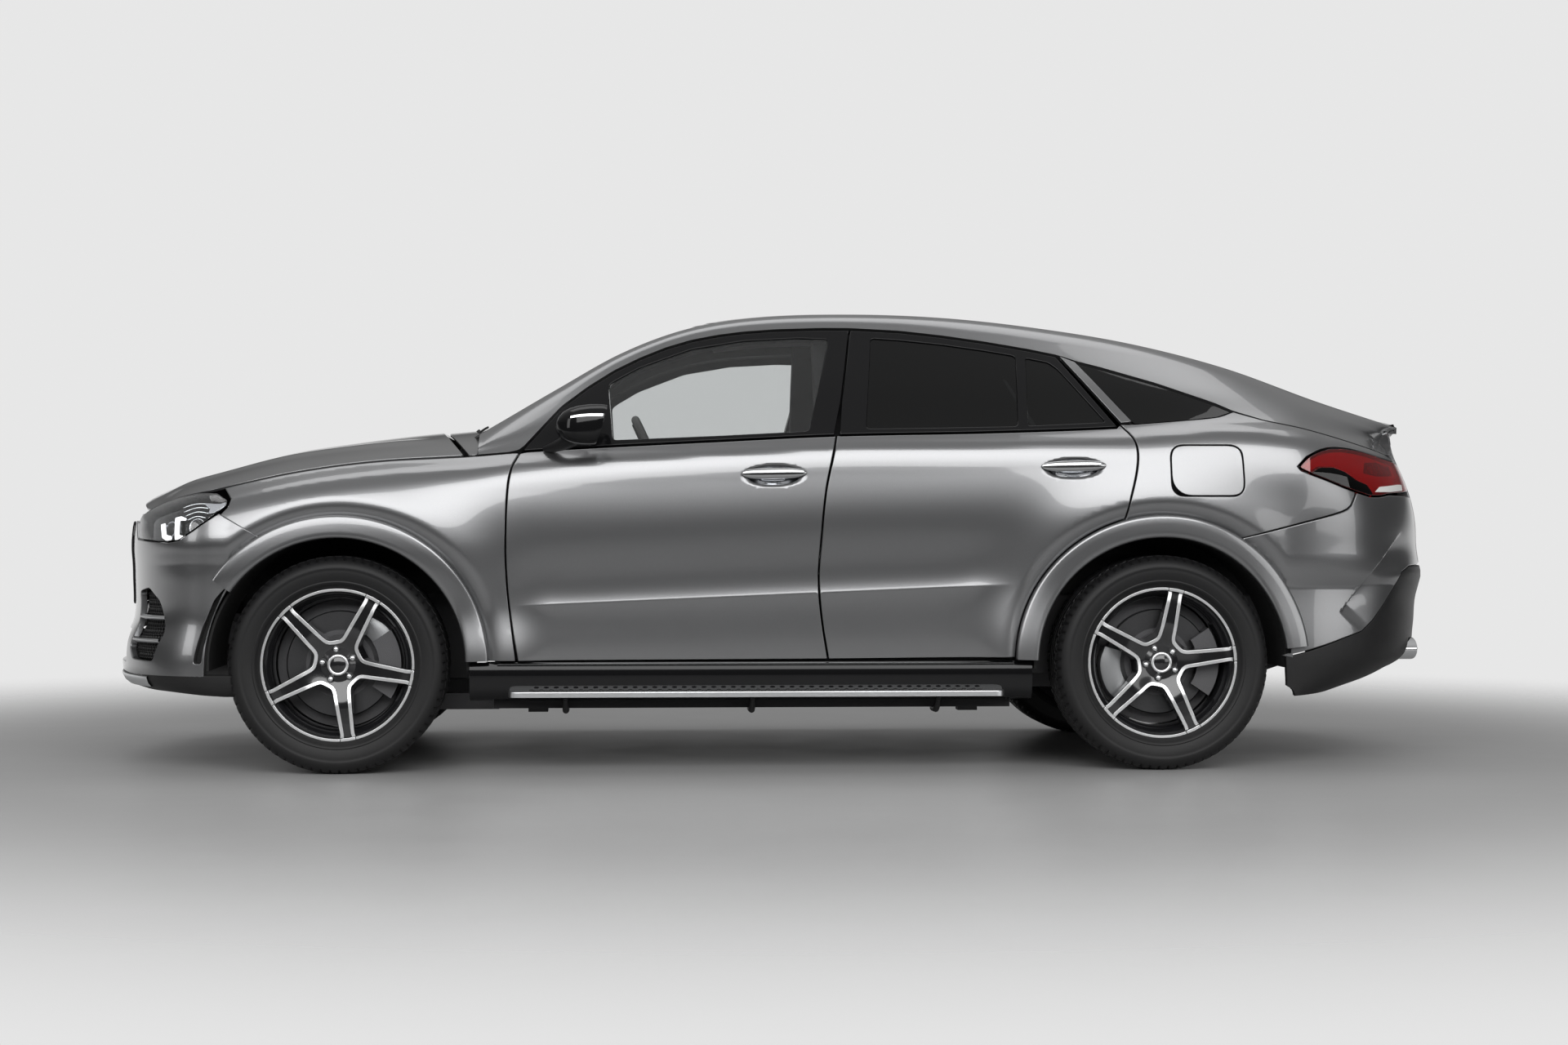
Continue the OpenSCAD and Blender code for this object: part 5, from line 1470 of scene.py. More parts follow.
def grille_shape():
    """Surround 0, dark back 1 of painted shade, bars 2, lower mesh 3, bright fins 4."""
    hole = rounded(on_nose(GRILLE), 30)
    shape = Shape()
    back = rounded(on_nose([(-505, 893), (-520, 838), (-437, 586), (437, 586), (520, 838), (505, 893)]), 30)
    shape.join(painted_shade_backing(back, 62, 40))
    brow = on_nose([(-585, 884), (585, 884), (578, 926), (-578, 926)])
    shape.join(panel(nose, brow, step=30, depth=3, roll=0, lift=-16, marks=0))
    loop = resample(shut(hole, 2), 14)
    shape.join(tube(chain(nose(*loop.T) + facing(nose, *loop.T) * 1, nose(*loop[:2].T)), 7, 8, 0))
    for k in range(17):
        y = -480 + 60 * k
        z = np.linspace(596, 884, 18)
        limit = grille_half(z) - 8
        z = z[np.abs(y) < limit]
        if len(z) < 3:
            continue
        t = wrap_at(np.full(len(z), float(y) if y else 0.01), z, NOSE_START, NOSE_BEND)
        shape.join(tube(nose(t, z) - facing(nose, t, z) * 26, 8.5, 8, 2))
    for z in (660.0, 740.0, 820.0):
        reach = grille_half(z) - 4
        y = np.linspace(-reach, reach, 41)
        t = wrap_at(y, np.full(41, z), NOSE_START, NOSE_BEND)
        shape.join(tube(nose(t, np.full(41, z)) - facing(nose, t, np.full(41, z)) * 44, 6, 8, 2))
    spot = rounded(on_nose(INTAKE), 25)
    shape.join(painted_shade_backing(shut(spot, -6), 50, 50))
    shape.join(mesh_insert(nose, spot, 34, 4, -24, 3))
    cheek = rounded(on_nose(SIDE_INTAKE), 25)
    vent = rounded(placed(ARCH_VENT, nose_place), 12)
    half = painted_shade_backing(shut(cheek, -6), 46, 40)
    half.join(mesh_insert(nose, cheek, 30, 3.6, -26, 3))
    half.join(painted_shade_backing(shut(vent, -4), 26, 30))
    for k in range(2):
        z = 470.0 + 80 * k
        line = on_nose([(664, z), (850, z + 8)])[:6]
        half.join(wrap_band(nose, np.linspace(line[:, 0].min(), line[:, 0].max(), 14),
            [(z - 8, -22), (z - 4, 2), (z + 4, 2), (z + 8, -22)], 4))
    return shape.join(half.paired())


def lower_lip():
    """Black chin 0 under the bumper with a bright skid strip 1."""
    t = np.linspace(-1, 1, 97) * (TURN + 84)
    chin = wrap_band(nose, t, [(350, -22), (349, -3), (346, 0), (330, 1), (312, 0), (296, -3), (282, -9),
        (272, -18), (266, -40)], 0)
    y, z = np.meshgrid(np.linspace(-720, 720, 25), [262.0, 300, 380, 470])
    dam = np.stack([FRONT_X + 540 + 60 * (1 - (y / 720) ** 2), y, z], 2).reshape(-1, 3)
    chin.add(dam, [(r * 25 + k, r * 25 + k + 1, r * 25 + k + 26,
        r * 25 + k + 25) for r in range(3) for k in range(24)], None, 0)
    mid = np.linspace(-0.62, 0.62, 61) * TURN
    return chin.join(wrap_band(nose, mid, [(342, -2), (341, 4), (336, 6), (318, 6), (306, 4), (303, -3)], 1))


def sweep(profile, u, mark=0):
    """Closed profile [y, z] carried along stations u on the left side."""
    m, n = len(profile), len(u)
    p = np.array([(FRONT_X - s, y, z) for s in u for y, z in profile])
    faces = grid(n, m, True)
    faces += [tuple(range(m)), tuple((n - 1) * m + k for k in range(m))[::-1]]
    return Shape().add(p, faces, None, mark)


def sill_shape():
    """Black sill cover 0 with a bright strip 1 under the doors."""
    low = sweep([(868, 256), (904, 256), (924, 262), (936, 278), (942, 304), (945, 345), (944, 372),
        (936, 392), (868, 392)],
                np.linspace(462, 2466, 40))
    return low.join(sweep([(938, 382), (946, 381), (949, 383), (949, 388), (946, 390), (936, 390)],
        np.linspace(560, 2400, 40), 1))


def board_shape():
    """Running board: brushed plank 0, black studs 1."""
    rim = np.array([(FRONT_X - 600, 912), (FRONT_X - 600, 998), (FRONT_X - 2362, 998),
        (FRONT_X - 2362, 912)])
    board = plate(rounded(rim, 34, 8), (), 271, 292, 5, 60, 0)
    for k in range(46):
        for row in (936, 970):
            c = (FRONT_X - 680 - 35 * k - (17 if row > 950 else 0), row, 292)
            board.join(lathe([(9, -1), (9, 1.6), (7.4, 2.6), (0.01, 2.8)], 12, mark=1), move=c)
    return board


def bracket_shape():
    """Flat brackets that carry a running board from the floor."""
    shape = Shape()
    for u in (800, 1465, 2130):
        path = [(FRONT_X - u, 760, 214), (FRONT_X - u, 850, 216), (FRONT_X - u, 896, 232),
            (FRONT_X - u, 925, 256), (FRONT_X - u, 948, 262)]
        shape.join(tube(path, [12, 12, 11, 9, 8], 12))
    return shape


def handle_shape(name):
    """Oval grip 0 over the bright liner 1 of its cup."""
    cu, cz, _, _, lean = HANDLES[name]
    s = np.sin(np.linspace(-90, 90, 37) * math.pi / 180)
    n = 20
    a = np.linspace(0, 2 * math.pi, n, endpoint=False)
    points = []
    for f in s:
        u, tall = cu + 116 * f, 0.4 + 19 * math.sqrt(max(0, 1 - abs(f) ** 3.2))
        thick = 1.2 + 8.0 * max(0, 1 - abs(f) ** 4)
        knots, widths = section(np.array([u]))
        z = cz + lean * (u - cu) + tall * np.cos(a)
        y = smooth(knots, widths, np.array([cz + lean * (u - cu)])) + swell(np.array([u]), np.array([cz]))
        points.append(np.stack([np.full(n, FRONT_X - u), y + 4 + thick * (np.sin(a) + 0.25), z + 8], 1))
    grip = Shape().add(np.concatenate(points), [(b, c, d, a) for a, b, c, d in grid(len(s), n, True)])
    return grip.join(panel(side, spot_outline(HANDLES[name], 0.8), step=9, depth=1, roll=0, lift=1.2,
        marks=1))


def mirror_shape():
    """Mirror housing 0, glass 1, indicator strip 2, foot 3."""
    rows = [(0.0, 0.03), (0.02, 0.26), (0.07, 0.47), (0.15, 0.66), (0.28, 0.82), (0.45, 0.93), (0.65, 0.99),
        (0.85, 1.0),
            (0.95, 0.985), (1.0, 0.95)]
    n = 48
    a = np.linspace(0, 2 * math.pi, n, endpoint=False)
    c, s = np.cos(a), np.sin(a)
    points = []
    for f, k in rows:
        y = 992 + 82 * k * np.sign(c) * np.abs(c) ** 0.72
        z = 1233 + 73 * k * np.sign(s) * np.abs(s) ** 0.72 - 10 * (1 - k)
        u = 768 + 158 * f + 22 * f * (z - 1233) / 73 + 8 * (y - 992) / 82
        points.append(np.stack([FRONT_X - u, y, z], 1))
    m = len(rows)
    shape = Shape().add(np.concatenate(points),
        [(b, c, d, a) for a, b, c, d in grid(m, n, True)] + [tuple(range(n))])
    for i in range(4, 8):
        shape.marks[i * n + 2] = 2
    end = points[-1]
    middle = end.mean(0)
    inner = middle + (end - middle) * 0.93 + np.array([12.0, 0, 0])
    rim = chain(end, middle + (end - middle) * 0.95, inner)
    shape.add(rim, [(b, c, d, a) for a, b, c, d in grid(3, n, True)])
    shape.add(inner, [tuple(range(n))[::-1]], None, 1)
    foot = tube([(FRONT_X - 724, 880, 1150), (FRONT_X - 758, 908, 1156), (FRONT_X - 796, 946, 1168),
        (FRONT_X - 836, 984, 1192)],
                [10, 18, 25, 30], 16, 3)
    return shape.join(foot)


def wiper(y0, y1, lean):
    """Wiper arm and blade on the windscreen, parked low."""
    y = np.linspace(y0, y1, 24)
    u = 470 - 80 * (1 - (y / 760) ** 2) + 40 + lean * np.linspace(0, 1, 24)
    base = top(u, y) + np.array([0, 0, 6.0])
    shape = tube(base, 4.2, 6, 0)
    return shape.join(tube(base[:14] + np.array([0, 0, 9.0]), np.linspace(8, 5, 14), 8, 0))


# Cabin


def swollen(points, faces, held, cap=16.0):
    """Points of a pad after a cloth simulation with pressure inside; no point moves further than cap."""
    scene = bpy.context.scene
    mesh = bpy.data.meshes.new("pad")
    mesh.from_pydata((points * 0.001).tolist(), [], faces)
    pad = bpy.data.objects.new("pad", mesh)
    scene.collection.objects.link(pad)
    pad.vertex_groups.new(name="held").add(held.tolist(), 1.0, "REPLACE")
    cloth = pad.modifiers.new("cloth", "CLOTH").settings
    cloth.use_pressure, cloth.uniform_pressure_force = True, 4.0
    cloth.vertex_group_mass, cloth.effector_weights.gravity = "held", 0.0
    for frame in range(1, 21):
        scene.frame_set(frame)
    done = pad.evaluated_get(bpy.context.evaluated_depsgraph_get()).data
    shift = np.array([v.co for v in done.vertices]) * 1000 - points
    scene.frame_set(1)
    bpy.data.objects.remove(pad)
    bpy.data.meshes.remove(mesh)
    if not np.isfinite(shift).all():
        raise RuntimeError("the cloth of a pad did not settle")
    return points + shift * np.minimum(1, cap / np.maximum(1e-6, np.linalg.norm(shift, axis=1)))[:, None]


@functools.lru_cache(maxsize=None)
def cushion(wide, deep, thick, crown=0.35, n=22, seams=(), mark=0):
    """Stuffed pad about its middle, lying flat, sewn round its rim and along seams across its width."""
    x = np.linspace(-1, 1, n)
    a, b = np.meshgrid(x, x, indexing="ij")
    a, b = a.ravel(), b.ravel()
    full = np.maximum(0, (1 - np.abs(a) ** 5) * (1 - np.abs(b) ** 5)) ** 0.32
    puff = full * (0.86 + crown * (1 - a * a) * (1 - b * b))
    sewn = np.zeros(len(a), bool)
    for s in seams:
        puff = puff - 0.16 * full * np.exp(-((b - s) / 0.035) ** 2)
        sewn |= np.abs(b - s) < 1.0 / n
    up = np.stack([a * wide / 2, b * deep / 2, thick / 2 * puff], 1)
    down = np.stack([a * wide / 2, b * deep / 2, -thick / 2 * full], 1)
    rim = np.maximum(np.abs(a), np.abs(b)) > 0.999
    under = np.where(rim, np.arange(n * n), n * n + np.cumsum(~rim) - 1)
    quads = grid(n, n)
    faces = quads + [tuple(int(under[i]) for i in q[::-1]) for q in quads]
    held = chain(np.flatnonzero(rim | sewn), np.arange(n * n, n * n + int((~rim).sum())))
    return Shape().add(swollen(chain(up, down[~rim]), faces, held), faces, None, mark)


def leaning(deg):
    """Turn about the width so that a flat pad stands up and leans back by deg."""
    a = math.radians(deg)
    return np.array([[0, -math.sin(a), math.cos(a)], [1, 0, 0], [0, math.cos(a), math.sin(a)]])


FLAT = np.array([[0.0, 1, 0], [-1, 0, 0], [0, 0, 1]])


def front_seat(y):
    """Cushion, backrest with bolsters, headrest on two posts and shell of one front seat."""
    seat = cushion(400, 460, 120, 0.3, 26, (-0.4, 0.1)).moved(FLAT, (FRONT_X - 1470, y, 560))
    for s in (-1, 1):
        seat.join(cushion(90, 440, 140, 0.2, 18), FLAT, (FRONT_X - 1475, y + s * 195, 572))
        seat.join(cushion(84, 470, 130, 0.2, 18), leaning(18), (FRONT_X - 1800, y + s * 188, 830))
    seat.join(cushion(370, 600, 110, 0.25, 26, (-0.5, -0.1, 0.3)), leaning(18), (FRONT_X - 1835, y, 880))
    seat.join(cushion(250, 165, 92, 0.35, 18), leaning(10), (FRONT_X - 1915, y, 1278))
    for s in (-1, 1):
        seat.join(tube([(FRONT_X - 1900, y + s * 55, 1150), (FRONT_X - 1912, y + s * 55, 1230)], 6, 8, 1))
    shell = tray_box((FRONT_X - 1700, y - 185, 290), (FRONT_X - 1255, y + 185, 500), 2)
    return seat.join(shell)


def tray_box(lo, hi, mark=0, r=14):
    """Box with rounded upright edges and bevelled top."""
    rim = rounded(np.array([(lo[0], lo[1]), (hi[0], lo[1]), (hi[0], hi[1]), (lo[0], hi[1])], float), r)
    return plate(rim, (), lo[2], hi[2], 4, 80, mark)


def rear_bench():
    """Three rear seats on their base."""
    bench = Shape()
    for y in (-385, 0, 385):
        wide = 395 if y else 350
        bench.join(cushion(wide, 440, 125, 0.25, 22, (0.0,)), FLAT, (FRONT_X - 2350, y, 628))
        bench.join(cushion(wide, 560, 115, 0.22, 22, (-0.4, 0.1)), leaning(14), (FRONT_X - 2668, y, 900))
        bench.join(cushion(240, 130, 84, 0.3, 16), leaning(10), (FRONT_X - 2752, y, 1232))
    return bench.join(tray_box((FRONT_X - 2560, -600, 562), (FRONT_X - 2160, 600, 590), 2))


COLUMN = np.array([-0.9135, 0, 0.4067])
COLUMN_LEAN = 66


def dash_shape():
    """Dashboard, console and column 0, vent hearts 1, screen 2, vent rings 3, arm rest 4."""
    y = np.linspace(-636, 636, 61)
    profile = [(604, 1078), (640, 1098), (720, 1132), (800, 1137), (870, 1130), (920, 1108), (960, 1080),
        (985, 1050), (996, 1000),
               (1000, 950), (985, 905), (940, 850), (900, 800), (866, 730)]
    p = []
    for v in y:
        k = 1 - 0.02 * (abs(v) / 636) ** 4
        lump = 14 * math.exp(-((v - 370) / 170) ** 2)
        p += [(FRONT_X - u, v, (z + lump * (780 < u < 960)) * k) for u, z in profile]
    m = len(profile)
    shape = Shape().add(p, grid(len(y), m), None, 0)
    shape.join(tray_box((FRONT_X - 1955, -104, 431), (FRONT_X - 700, 104, 640), 0, 30))
    shape.join(tray_box((FRONT_X - 1930, -96, 640), (FRONT_X - 1560, 96, 690), 4, 34))
    screen = np.array([[0, 0.3, -0.95], [1, 0, 0], [0, 0.95, 0.3]])
    shape.join(plate(rounded([(-110, -62), (560, -62), (560, 62), (-110, 62)], 14), (), 0, 16, 3, 60, 2),
        screen, (FRONT_X - 985, 0, 1105))
    for v in (-560, -60, 60, 560):
        shape.join(lathe([(40, -6), (40, 6), (36, 9), (33, 4)], 32, mark=3), screen,
            (FRONT_X - 1004, v, 985))
        shape.join(lathe([(33, 4), (20, 3), (0.01, 5)], 32, mark=1), screen, (FRONT_X - 1004, v, 985))
    middle = np.array(JOINT["steering_wheel_turn"]["pos_m"]) * 1000
    return shape.join(tube([middle - COLUMN * k for k in (40, 110, 220)], [34, 42, 52], 20, 0))


def wheel_of_hands():
    """Steering wheel about Z: leather rim 0, hub 1, bright spokes 2."""
    a = np.linspace(0, 2 * math.pi, 73)
    rim = tube(columns(172 * np.cos(a), 172 * np.sin(a), 0 * a), 15.5, 14, 0, ends=False)
    hub = lathe([(58, -30), (60, -12), (54, -2), (40, 4), (0.01, 7)], 40, mark=1)
    rim.join(hub)
    for t in (0, 180, 270):
        c, s = math.cos(math.radians(t)), math.sin(math.radians(t))
        turn = np.array([[c, -s, 0], [s, c, 0], [0, 0, 1]])
        rim.join(plate(rounded([(46, -16), (160, -13), (160, 13), (46, 16)], 5), (), -20, -8, 3, 30, 1),
            turn)
        rim.join(plate(rounded([(70, -10), (140, -8), (140, 8), (70, 10)], 4), (), -9, -5, 1.5, 30, 2), turn)
    return rim


# Operators


class Undoable:
    """What all operators here share."""
    bl_options = {"REGISTER", "UNDO"}


def paint_step():
    """Distance between points on painted panels."""
    return bpy.context.scene.vehicle_finish.panel_step


def need(*nodes):
    """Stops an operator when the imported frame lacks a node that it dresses."""
    missing = [n for n in nodes if n not in frame["nodes"]]
    if missing:
        raise RuntimeError("the frame has no " + ", ".join(missing))


class VEHICLE_OT_shell(Undoable, bpy.types.Operator):
    """Dress the fixed painted body: fenders, quarter panels, pillars, flares, roof and sills"""
    bl_idname = "vehicle.shell"
    bl_label = "Body Shell"

    def execute(self, context):
        need("front_fenders", "body_sides", "arch_flares", "roof_panel", "sill_covers", "running_boards")
        step = paint_step()
        fender_skin(step).paired().piece("fender_skins", ["paint"], "body", "front_fenders", "paint")
        sides = pillar_strip()
        bar = panel(side, shut([(2800, 1248), (2604, 1500), (2660, 1478), (2842, 1252)], 1), step=20,
            depth=14, roll=2, lift=1)
        post = panel(side, [(1636, 396), (1690, 396), (1696, 1010), (1722, 1120), (1800, 1590), (1750, 1590),
            (1676, 1120), (1642, 1010)], step=60, depth=12, roll=0, lift=-86, marks=1)
        inner = panel(side, [(640, 368), (2420, 368), (2420, 393), (640, 393)], step=80, depth=40, roll=0,
            lift=-62, marks=1)
        well = [(-470, 330), (430, 330), (520, 360), (560, 420), (520, 700), (330, 860), (-330, 860),
            (-470, 700)]
        wall = plate(np.array(well) + [BASE, 0], (), 610, 616, 0.5, 60, 1)
        sides.join(bar).join(post).join(inner).join(wall, np.array([[-1, 0, 0], [0, 0, 1], [0, 1, 0]]),
            (FRONT_X, 0, 0))
        pocket = tray(side, rounded(shut(FUEL_LID, -6), 24), 62).marked(1)
        sides = sides.paired().join(quarter_skin(step), MIRROR).join(pocket)
        sides.join(quarter_skin(step, [rounded(shut(FUEL_LID, -4), 24)]))
        sides.piece("side_panels", ["paint", "trim"], "body", "body_sides", "paint")
        flares = flare_band(0, 35, 178.5).join(flare_band(BASE, 1.5, 173.5))
        flares.paired().piece("arch_flares_skin", ["paint"], "body", "arch_flares", "paint")
        roof = panel(top, span(ROOF_FRONT + GAP / 2, 40, GATE_TOP - GAP / 2, 24, roof_half(RAIL_EDGE + GAP)),
            [rounded(span(1440, 36, 2380, 18, roof_half(120), 10), 30)],
                     30, 16, 3.5)
        glass = panel(top, rounded(span(1444, 36, 2376, 18, roof_half(124), 10), 28), step=60, depth=5,
            roll=1, lift=-1, marks=1)
        lining = panel(top, span(1370, 40, 2890, 24, roof_half(60)), step=80, depth=8, roll=0, lift=-34,
            marks=2)
        scuttle(30).piece("scuttle", ["paint"], "body", slot="paint")
        roof.join(glass).join(lining).piece("roof_skin", ["paint", "gloss_black", "lining"], "body",
            "roof_panel", "paint")
        sill_shape().paired().piece("sill_trim", ["gloss_black", "dark_chrome"], "body", "sill_covers",
            "black_plastic")
        bracket_shape().paired().piece("board_arms", ["black_plastic"], "body", "board_brackets", "iron")
        board_shape().paired().piece("boards", ["brushed", "rubber"], "body", "running_boards", "aluminium")
        return {"FINISHED"}


class VEHICLE_OT_glass(Undoable, bpy.types.Operator):
    """Fit the windscreen with its border and wipers, and the fixed quarter glass"""
    bl_idname = "vehicle.glass"
    bl_label = "Fixed Glass"

    def execute(self, context):
        need("windscreen", "quarter_glass", "cowl")
        outline = span(500, 90, ROOF_FRONT - GAP / 2, 40, roof_half(RAIL_EDGE + GAP))
        screen = panel(top, outline, step=50, depth=5, roll=0, lift=-3)
        border = panel(top, outline, [rounded(span(566, 92, 1296, 42, roof_half(92), 14), 40)], 40, 1.5, 0,
            lift=-1.2, marks=1)
        screen.join(border).piece("screen", ["clear_glass", "gloss_black"], "body", "windscreen",
            "clear_glass")
        wiper(-560, 40, 30).join(wiper(0, 600, 30)).piece("wipers", ["black_plastic"], "body")
        pane(QUARTER_PANE, 12).paired().piece("quarter_panes", ["dark_glass"], "body", "quarter_glass",
            "dark_glass")
        # Dark sheet 16 mm inside the quarter glass: painted shade standing in for the shaded space behind it
        shade = panel(side, shut(rounded(QUARTER_PANE, 12), -9), step=40, depth=3, roll=0, lift=-16)
        shade.paired().piece("quarter_shades", ["cavity"], "body")
        return {"FINISHED"}


class VEHICLE_OT_doors(Undoable, bpy.types.Operator):
    """Dress the four doors with skins, window frames, glass, handles, cards and mirrors"""
    bl_idname = "vehicle.doors"
    bl_label = "Doors"

    def execute(self, context):
        step = paint_step()
        parts = {
            "front": (front_door_skin(step), front_frame(), pane(FRONT_PANE, 16), handle_shape("front")),
            "rear": (rear_door_skin(step), rear_frame(), pane(REAR_PANE, 16).join(pane(FIXED_PANE, 12)),
            handle_shape("rear"))}
        for end, (skin, window, glass, handle) in parts.items():
            for hand in ("left", "right"):
                body = f"{end}_door_{hand}"
                need(body)
                turn = None if hand == "left" else MIRROR
                skin.moved(turn).join(window.marked(2), turn).piece(
                    body + "_skin", ["paint", "trim", "gloss_black"], body, body, "paint")
                tint = "clear_glass" if end == "front" else "dark_glass"
                glass.moved(turn).piece(f"{end}_pane_{hand}", [tint], body, f"{end}_glass_{hand}", tint)
                handle.moved(turn).piece(f"{end}_grip_{hand}", ["dark_chrome", "reflector"], body,
                    f"{end}_handle_{hand}", "chrome")
                if end == "front":
                    mirror_shape().moved(turn).piece(f"mirror_{hand}_skin",
                        ["gloss_black", "mirror_glass", "lit_bar", "black_plastic"],
                                               body, f"mirror_{hand}", "gloss_black")
        return {"FINISHED"}


class VEHICLE_OT_lids(Undoable, bpy.types.Operator):
    """Dress the hood, the liftgate with its window and the fuel flap"""
    bl_idname = "vehicle.lids"
    bl_label = "Lids"

    def execute(self, context):
        need("hood", "liftgate", "rear_window", "fuel_flap")
        step = paint_step()
        panel(bonnet, hood_outline(), step=step, depth=10, roll=3.5, marks=(0, 0, 1)).piece(
            "hood_skin", ["paint", "iron"], "hood", "hood", "paint")
        gate = gate_skins(step).join(spoiler_lip())
        gate.piece("gate_skin", ["paint"], "liftgate", "liftgate", "paint")
        panel(top, shut(gate_window(), 1), step=60, depth=5, roll=0, lift=-4).piece(
            "gate_pane", ["dark_glass"], "liftgate", "rear_window", "dark_glass")
        edge = [(3006, 985)] + FUEL_LID[1:-1] + [(2966, 1024)]  # low front corner cut to swing clear
        lid = panel(side, rounded(edge, 34), step=18, depth=4.5, roll=2.0)
        lid.piece("fuel_lid", ["paint"], "fuel_flap", "fuel_flap", "paint")
        return {"FINISHED"}


class VEHICLE_OT_front_end(Undoable, bpy.types.Operator):
    """Dress the nose: bumper cover, grille, intakes, chin and head lamps"""
    bl_idname = "vehicle.front_end"
    bl_label = "Front End"

    def execute(self, context):
        need("front_bumper", "grille", "head_lamps")
        bumper_skin(paint_step()).piece("nose_cover", ["paint"], "body", "front_bumper", "paint")
        grille_shape().piece("grille_set",
            ["gloss_black", "cavity", "gloss_black", "black_plastic", "brushed"], "body", "grille",
            "gloss_black")
        lower_lip().piece("chin", ["black_plastic", "brushed"], "body")
        head_lamp().paired().piece("head_lamp_sets",
            ["lens", "gloss_black", "lit_bar", "reflector", "chrome"], "body", "head_lamps", "lamp")
        return {"FINISHED"}


class VEHICLE_OT_rear_end(Undoable, bpy.types.Operator):
    """Dress the tail: bumper, valance, tail lamps, blank plate and exhaust tips"""
    bl_idname = "vehicle.rear_end"
    bl_label = "Rear End"

    def execute(self, context):
        need("rear_bumper", "rear_valance", "tail_lamps", "plate_holder", "exhaust")
        step = paint_step()
        rear_bumper_skin(step).paired().piece("tail_cover", ["paint"], "body", "rear_bumper", "paint")
        valance_skin(26).piece("valance_skin", ["black_plastic"], "body", "rear_valance", "black_plastic")
        tail_lamp().paired().piece("tail_lamp_sets",
            ["red_lens", "gloss_black", "dark_glass", "plate", "red_glow", "cavity"],
                                   "body", "tail_lamps", "red_lamp")
        blank = plate(rounded([(-258, -56), (258, -56), (258, 56), (-258, 56)], 10), (), 0, 8, 2, 60, 0)
        blank.moved([[0, 0, -1], [-1, 0, 0], [0, 1, 0]], (FRONT_X - 4016, 0, 560)).piece(
            "blank_plate", ["plate"], "body", "plate_holder", "plate")
        tip = lathe([(75, -180), (75, 10), (78, 14), (82, 14), (84, 10), (84, -180)], 64)
        tip.moved([[0, 0, -1], [-1, 0, 0], [0, 0.5, 0]],
            (FRONT_X - 3938, 580, 418)).paired().piece("exhaust_tips", ["chrome"], "body", "exhaust",
            "chrome")
        return {"FINISHED"}


# Angle of the brake caliper on its disc
CALIPER_AT = {"front": 24, "rear": 195}


class VEHICLE_OT_wheels(Undoable, bpy.types.Operator):
    """Make the four wheels with tyres, brake discs and calipers"""
    bl_idname = "vehicle.wheels"
    bl_label = "Wheels"

    def execute(self, context):
        settings = context.scene.vehicle_wheels
        rim, rubber, disc, clamp = wheel(settings.spokes), tyre(settings.tread_blocks), brake(), caliper()
        for end, x in (("front", FRONT_X), ("rear", REAR_X)):
            for hand in ("left", "right"):
                name = f"{end}_wheel_{hand}"
                need(f"{end}_rim_{hand}", f"{end}_tyre_{hand}")
                lo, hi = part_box(f"{end}_tyre_{hand}")
                y = (lo[1] + hi[1]) * 500
                turn, place = on_wheel(x, y, settings.front_turn if end == "front" else settings.rear_turn)
                rim.moved(turn, place).piece(name + "_rim", ["rim_black", "machined", "chrome"], name,
                    f"{end}_rim_{hand}", "gloss_black")
                rubber.moved(turn, place).piece(name + "_tyre", ["tyre"], name, f"{end}_tyre_{hand}", "tyre")
                disc.moved(turn, place).piece(name + "_disc", ["disc", "iron"], name)
                hold = f"front_knuckle_{hand}" if end == "front" else "body"
                turn, place = on_wheel(x, y, math.radians(CALIPER_AT[end]))
                clamp.moved(turn, place).piece(name + "_caliper", ["caliper"], hold)
        return {"FINISHED"}


class VEHICLE_OT_cabin(Undoable, bpy.types.Operator):
    """Furnish the cabin: padded seats, dashboard and steering wheel"""
    bl_idname = "vehicle.cabin"
    bl_label = "Cabin"

    def execute(self, context):
        need("seats", "dashboard", "steering_wheel")
        seats = front_seat(370).join(front_seat(-370)).join(rear_bench())
        obj = seats.piece("seat_set", ["leather", "chrome", "trim"], "body", "seats", "leather", crisp=60)
        dash_shape().piece("dash", ["trim", "gloss_black", "cavity", "chrome", "leather"], "body",
            "dashboard", "black_plastic")
        lean = math.radians(COLUMN_LEAN)
        turn = np.array([[math.cos(lean), 0, -math.sin(lean)], [0, 1, 0],
            [math.sin(lean), 0, math.cos(lean)]])
        middle = np.array(JOINT["steering_wheel_turn"]["pos_m"]) * 1000
        turn = turn @ np.array([[0, -1, 0], [1, 0, 0], [0, 0, 1]])
        wheel_of_hands().moved(turn, middle).piece("hand_wheel", ["leather", "trim", "chrome"],
            "steering_wheel", "steering_wheel", "leather")
        return {"FINISHED"}


class VEHICLE_OT_bare_frame(Undoable, bpy.types.Operator):
    """Give procedural finishes to the plain parts that stay in view"""
    bl_idname = "vehicle.bare_frame"
    bl_label = "Plain Parts"

    def execute(self, context):
        finishes = {
            "floor_pan": "carpet", "hinge_pins": "iron", "wheel_liners": "cavity", "cowl": "black_plastic",
            "rear_beam": "iron",
            "jack_pads": "rubber", "engine_block": "iron", "front_subframe": "iron",
            "rear_subframe": "iron", "front_knuckle_left": "iron", "front_knuckle_right": "iron"}
        need(*finishes)
        for name, kind in finishes.items():
            mesh = frame["nodes"][name].data
            mesh.materials.clear()
            mesh.materials.append(look(kind))
        return {"FINISHED"}


# Name, place, aim, width, height and watts
LAMPS = [
    ("softbox", (0.2, 9.0, 5.0), (0.1, 0.9, 0.9), 12.0, 4.8, 800),
    ("roof", (0, -0.6, 6.5), (0, -0.4, 0), 8.0, 3.0, 120),
    ("nose", (7.0, 5.0, 2.6), (1.9, 0.4, 0.8), 1.6, 3.0, 50),
    ("tail", (-7.0, 7.2, 1.6), (-1.9, 0.9, 0.8), 4.5, 2.4, 80)]
# Where the floor starts to fade and has gone, in metres from the middle
FLOOR_FADE = (2.9, 6.5)


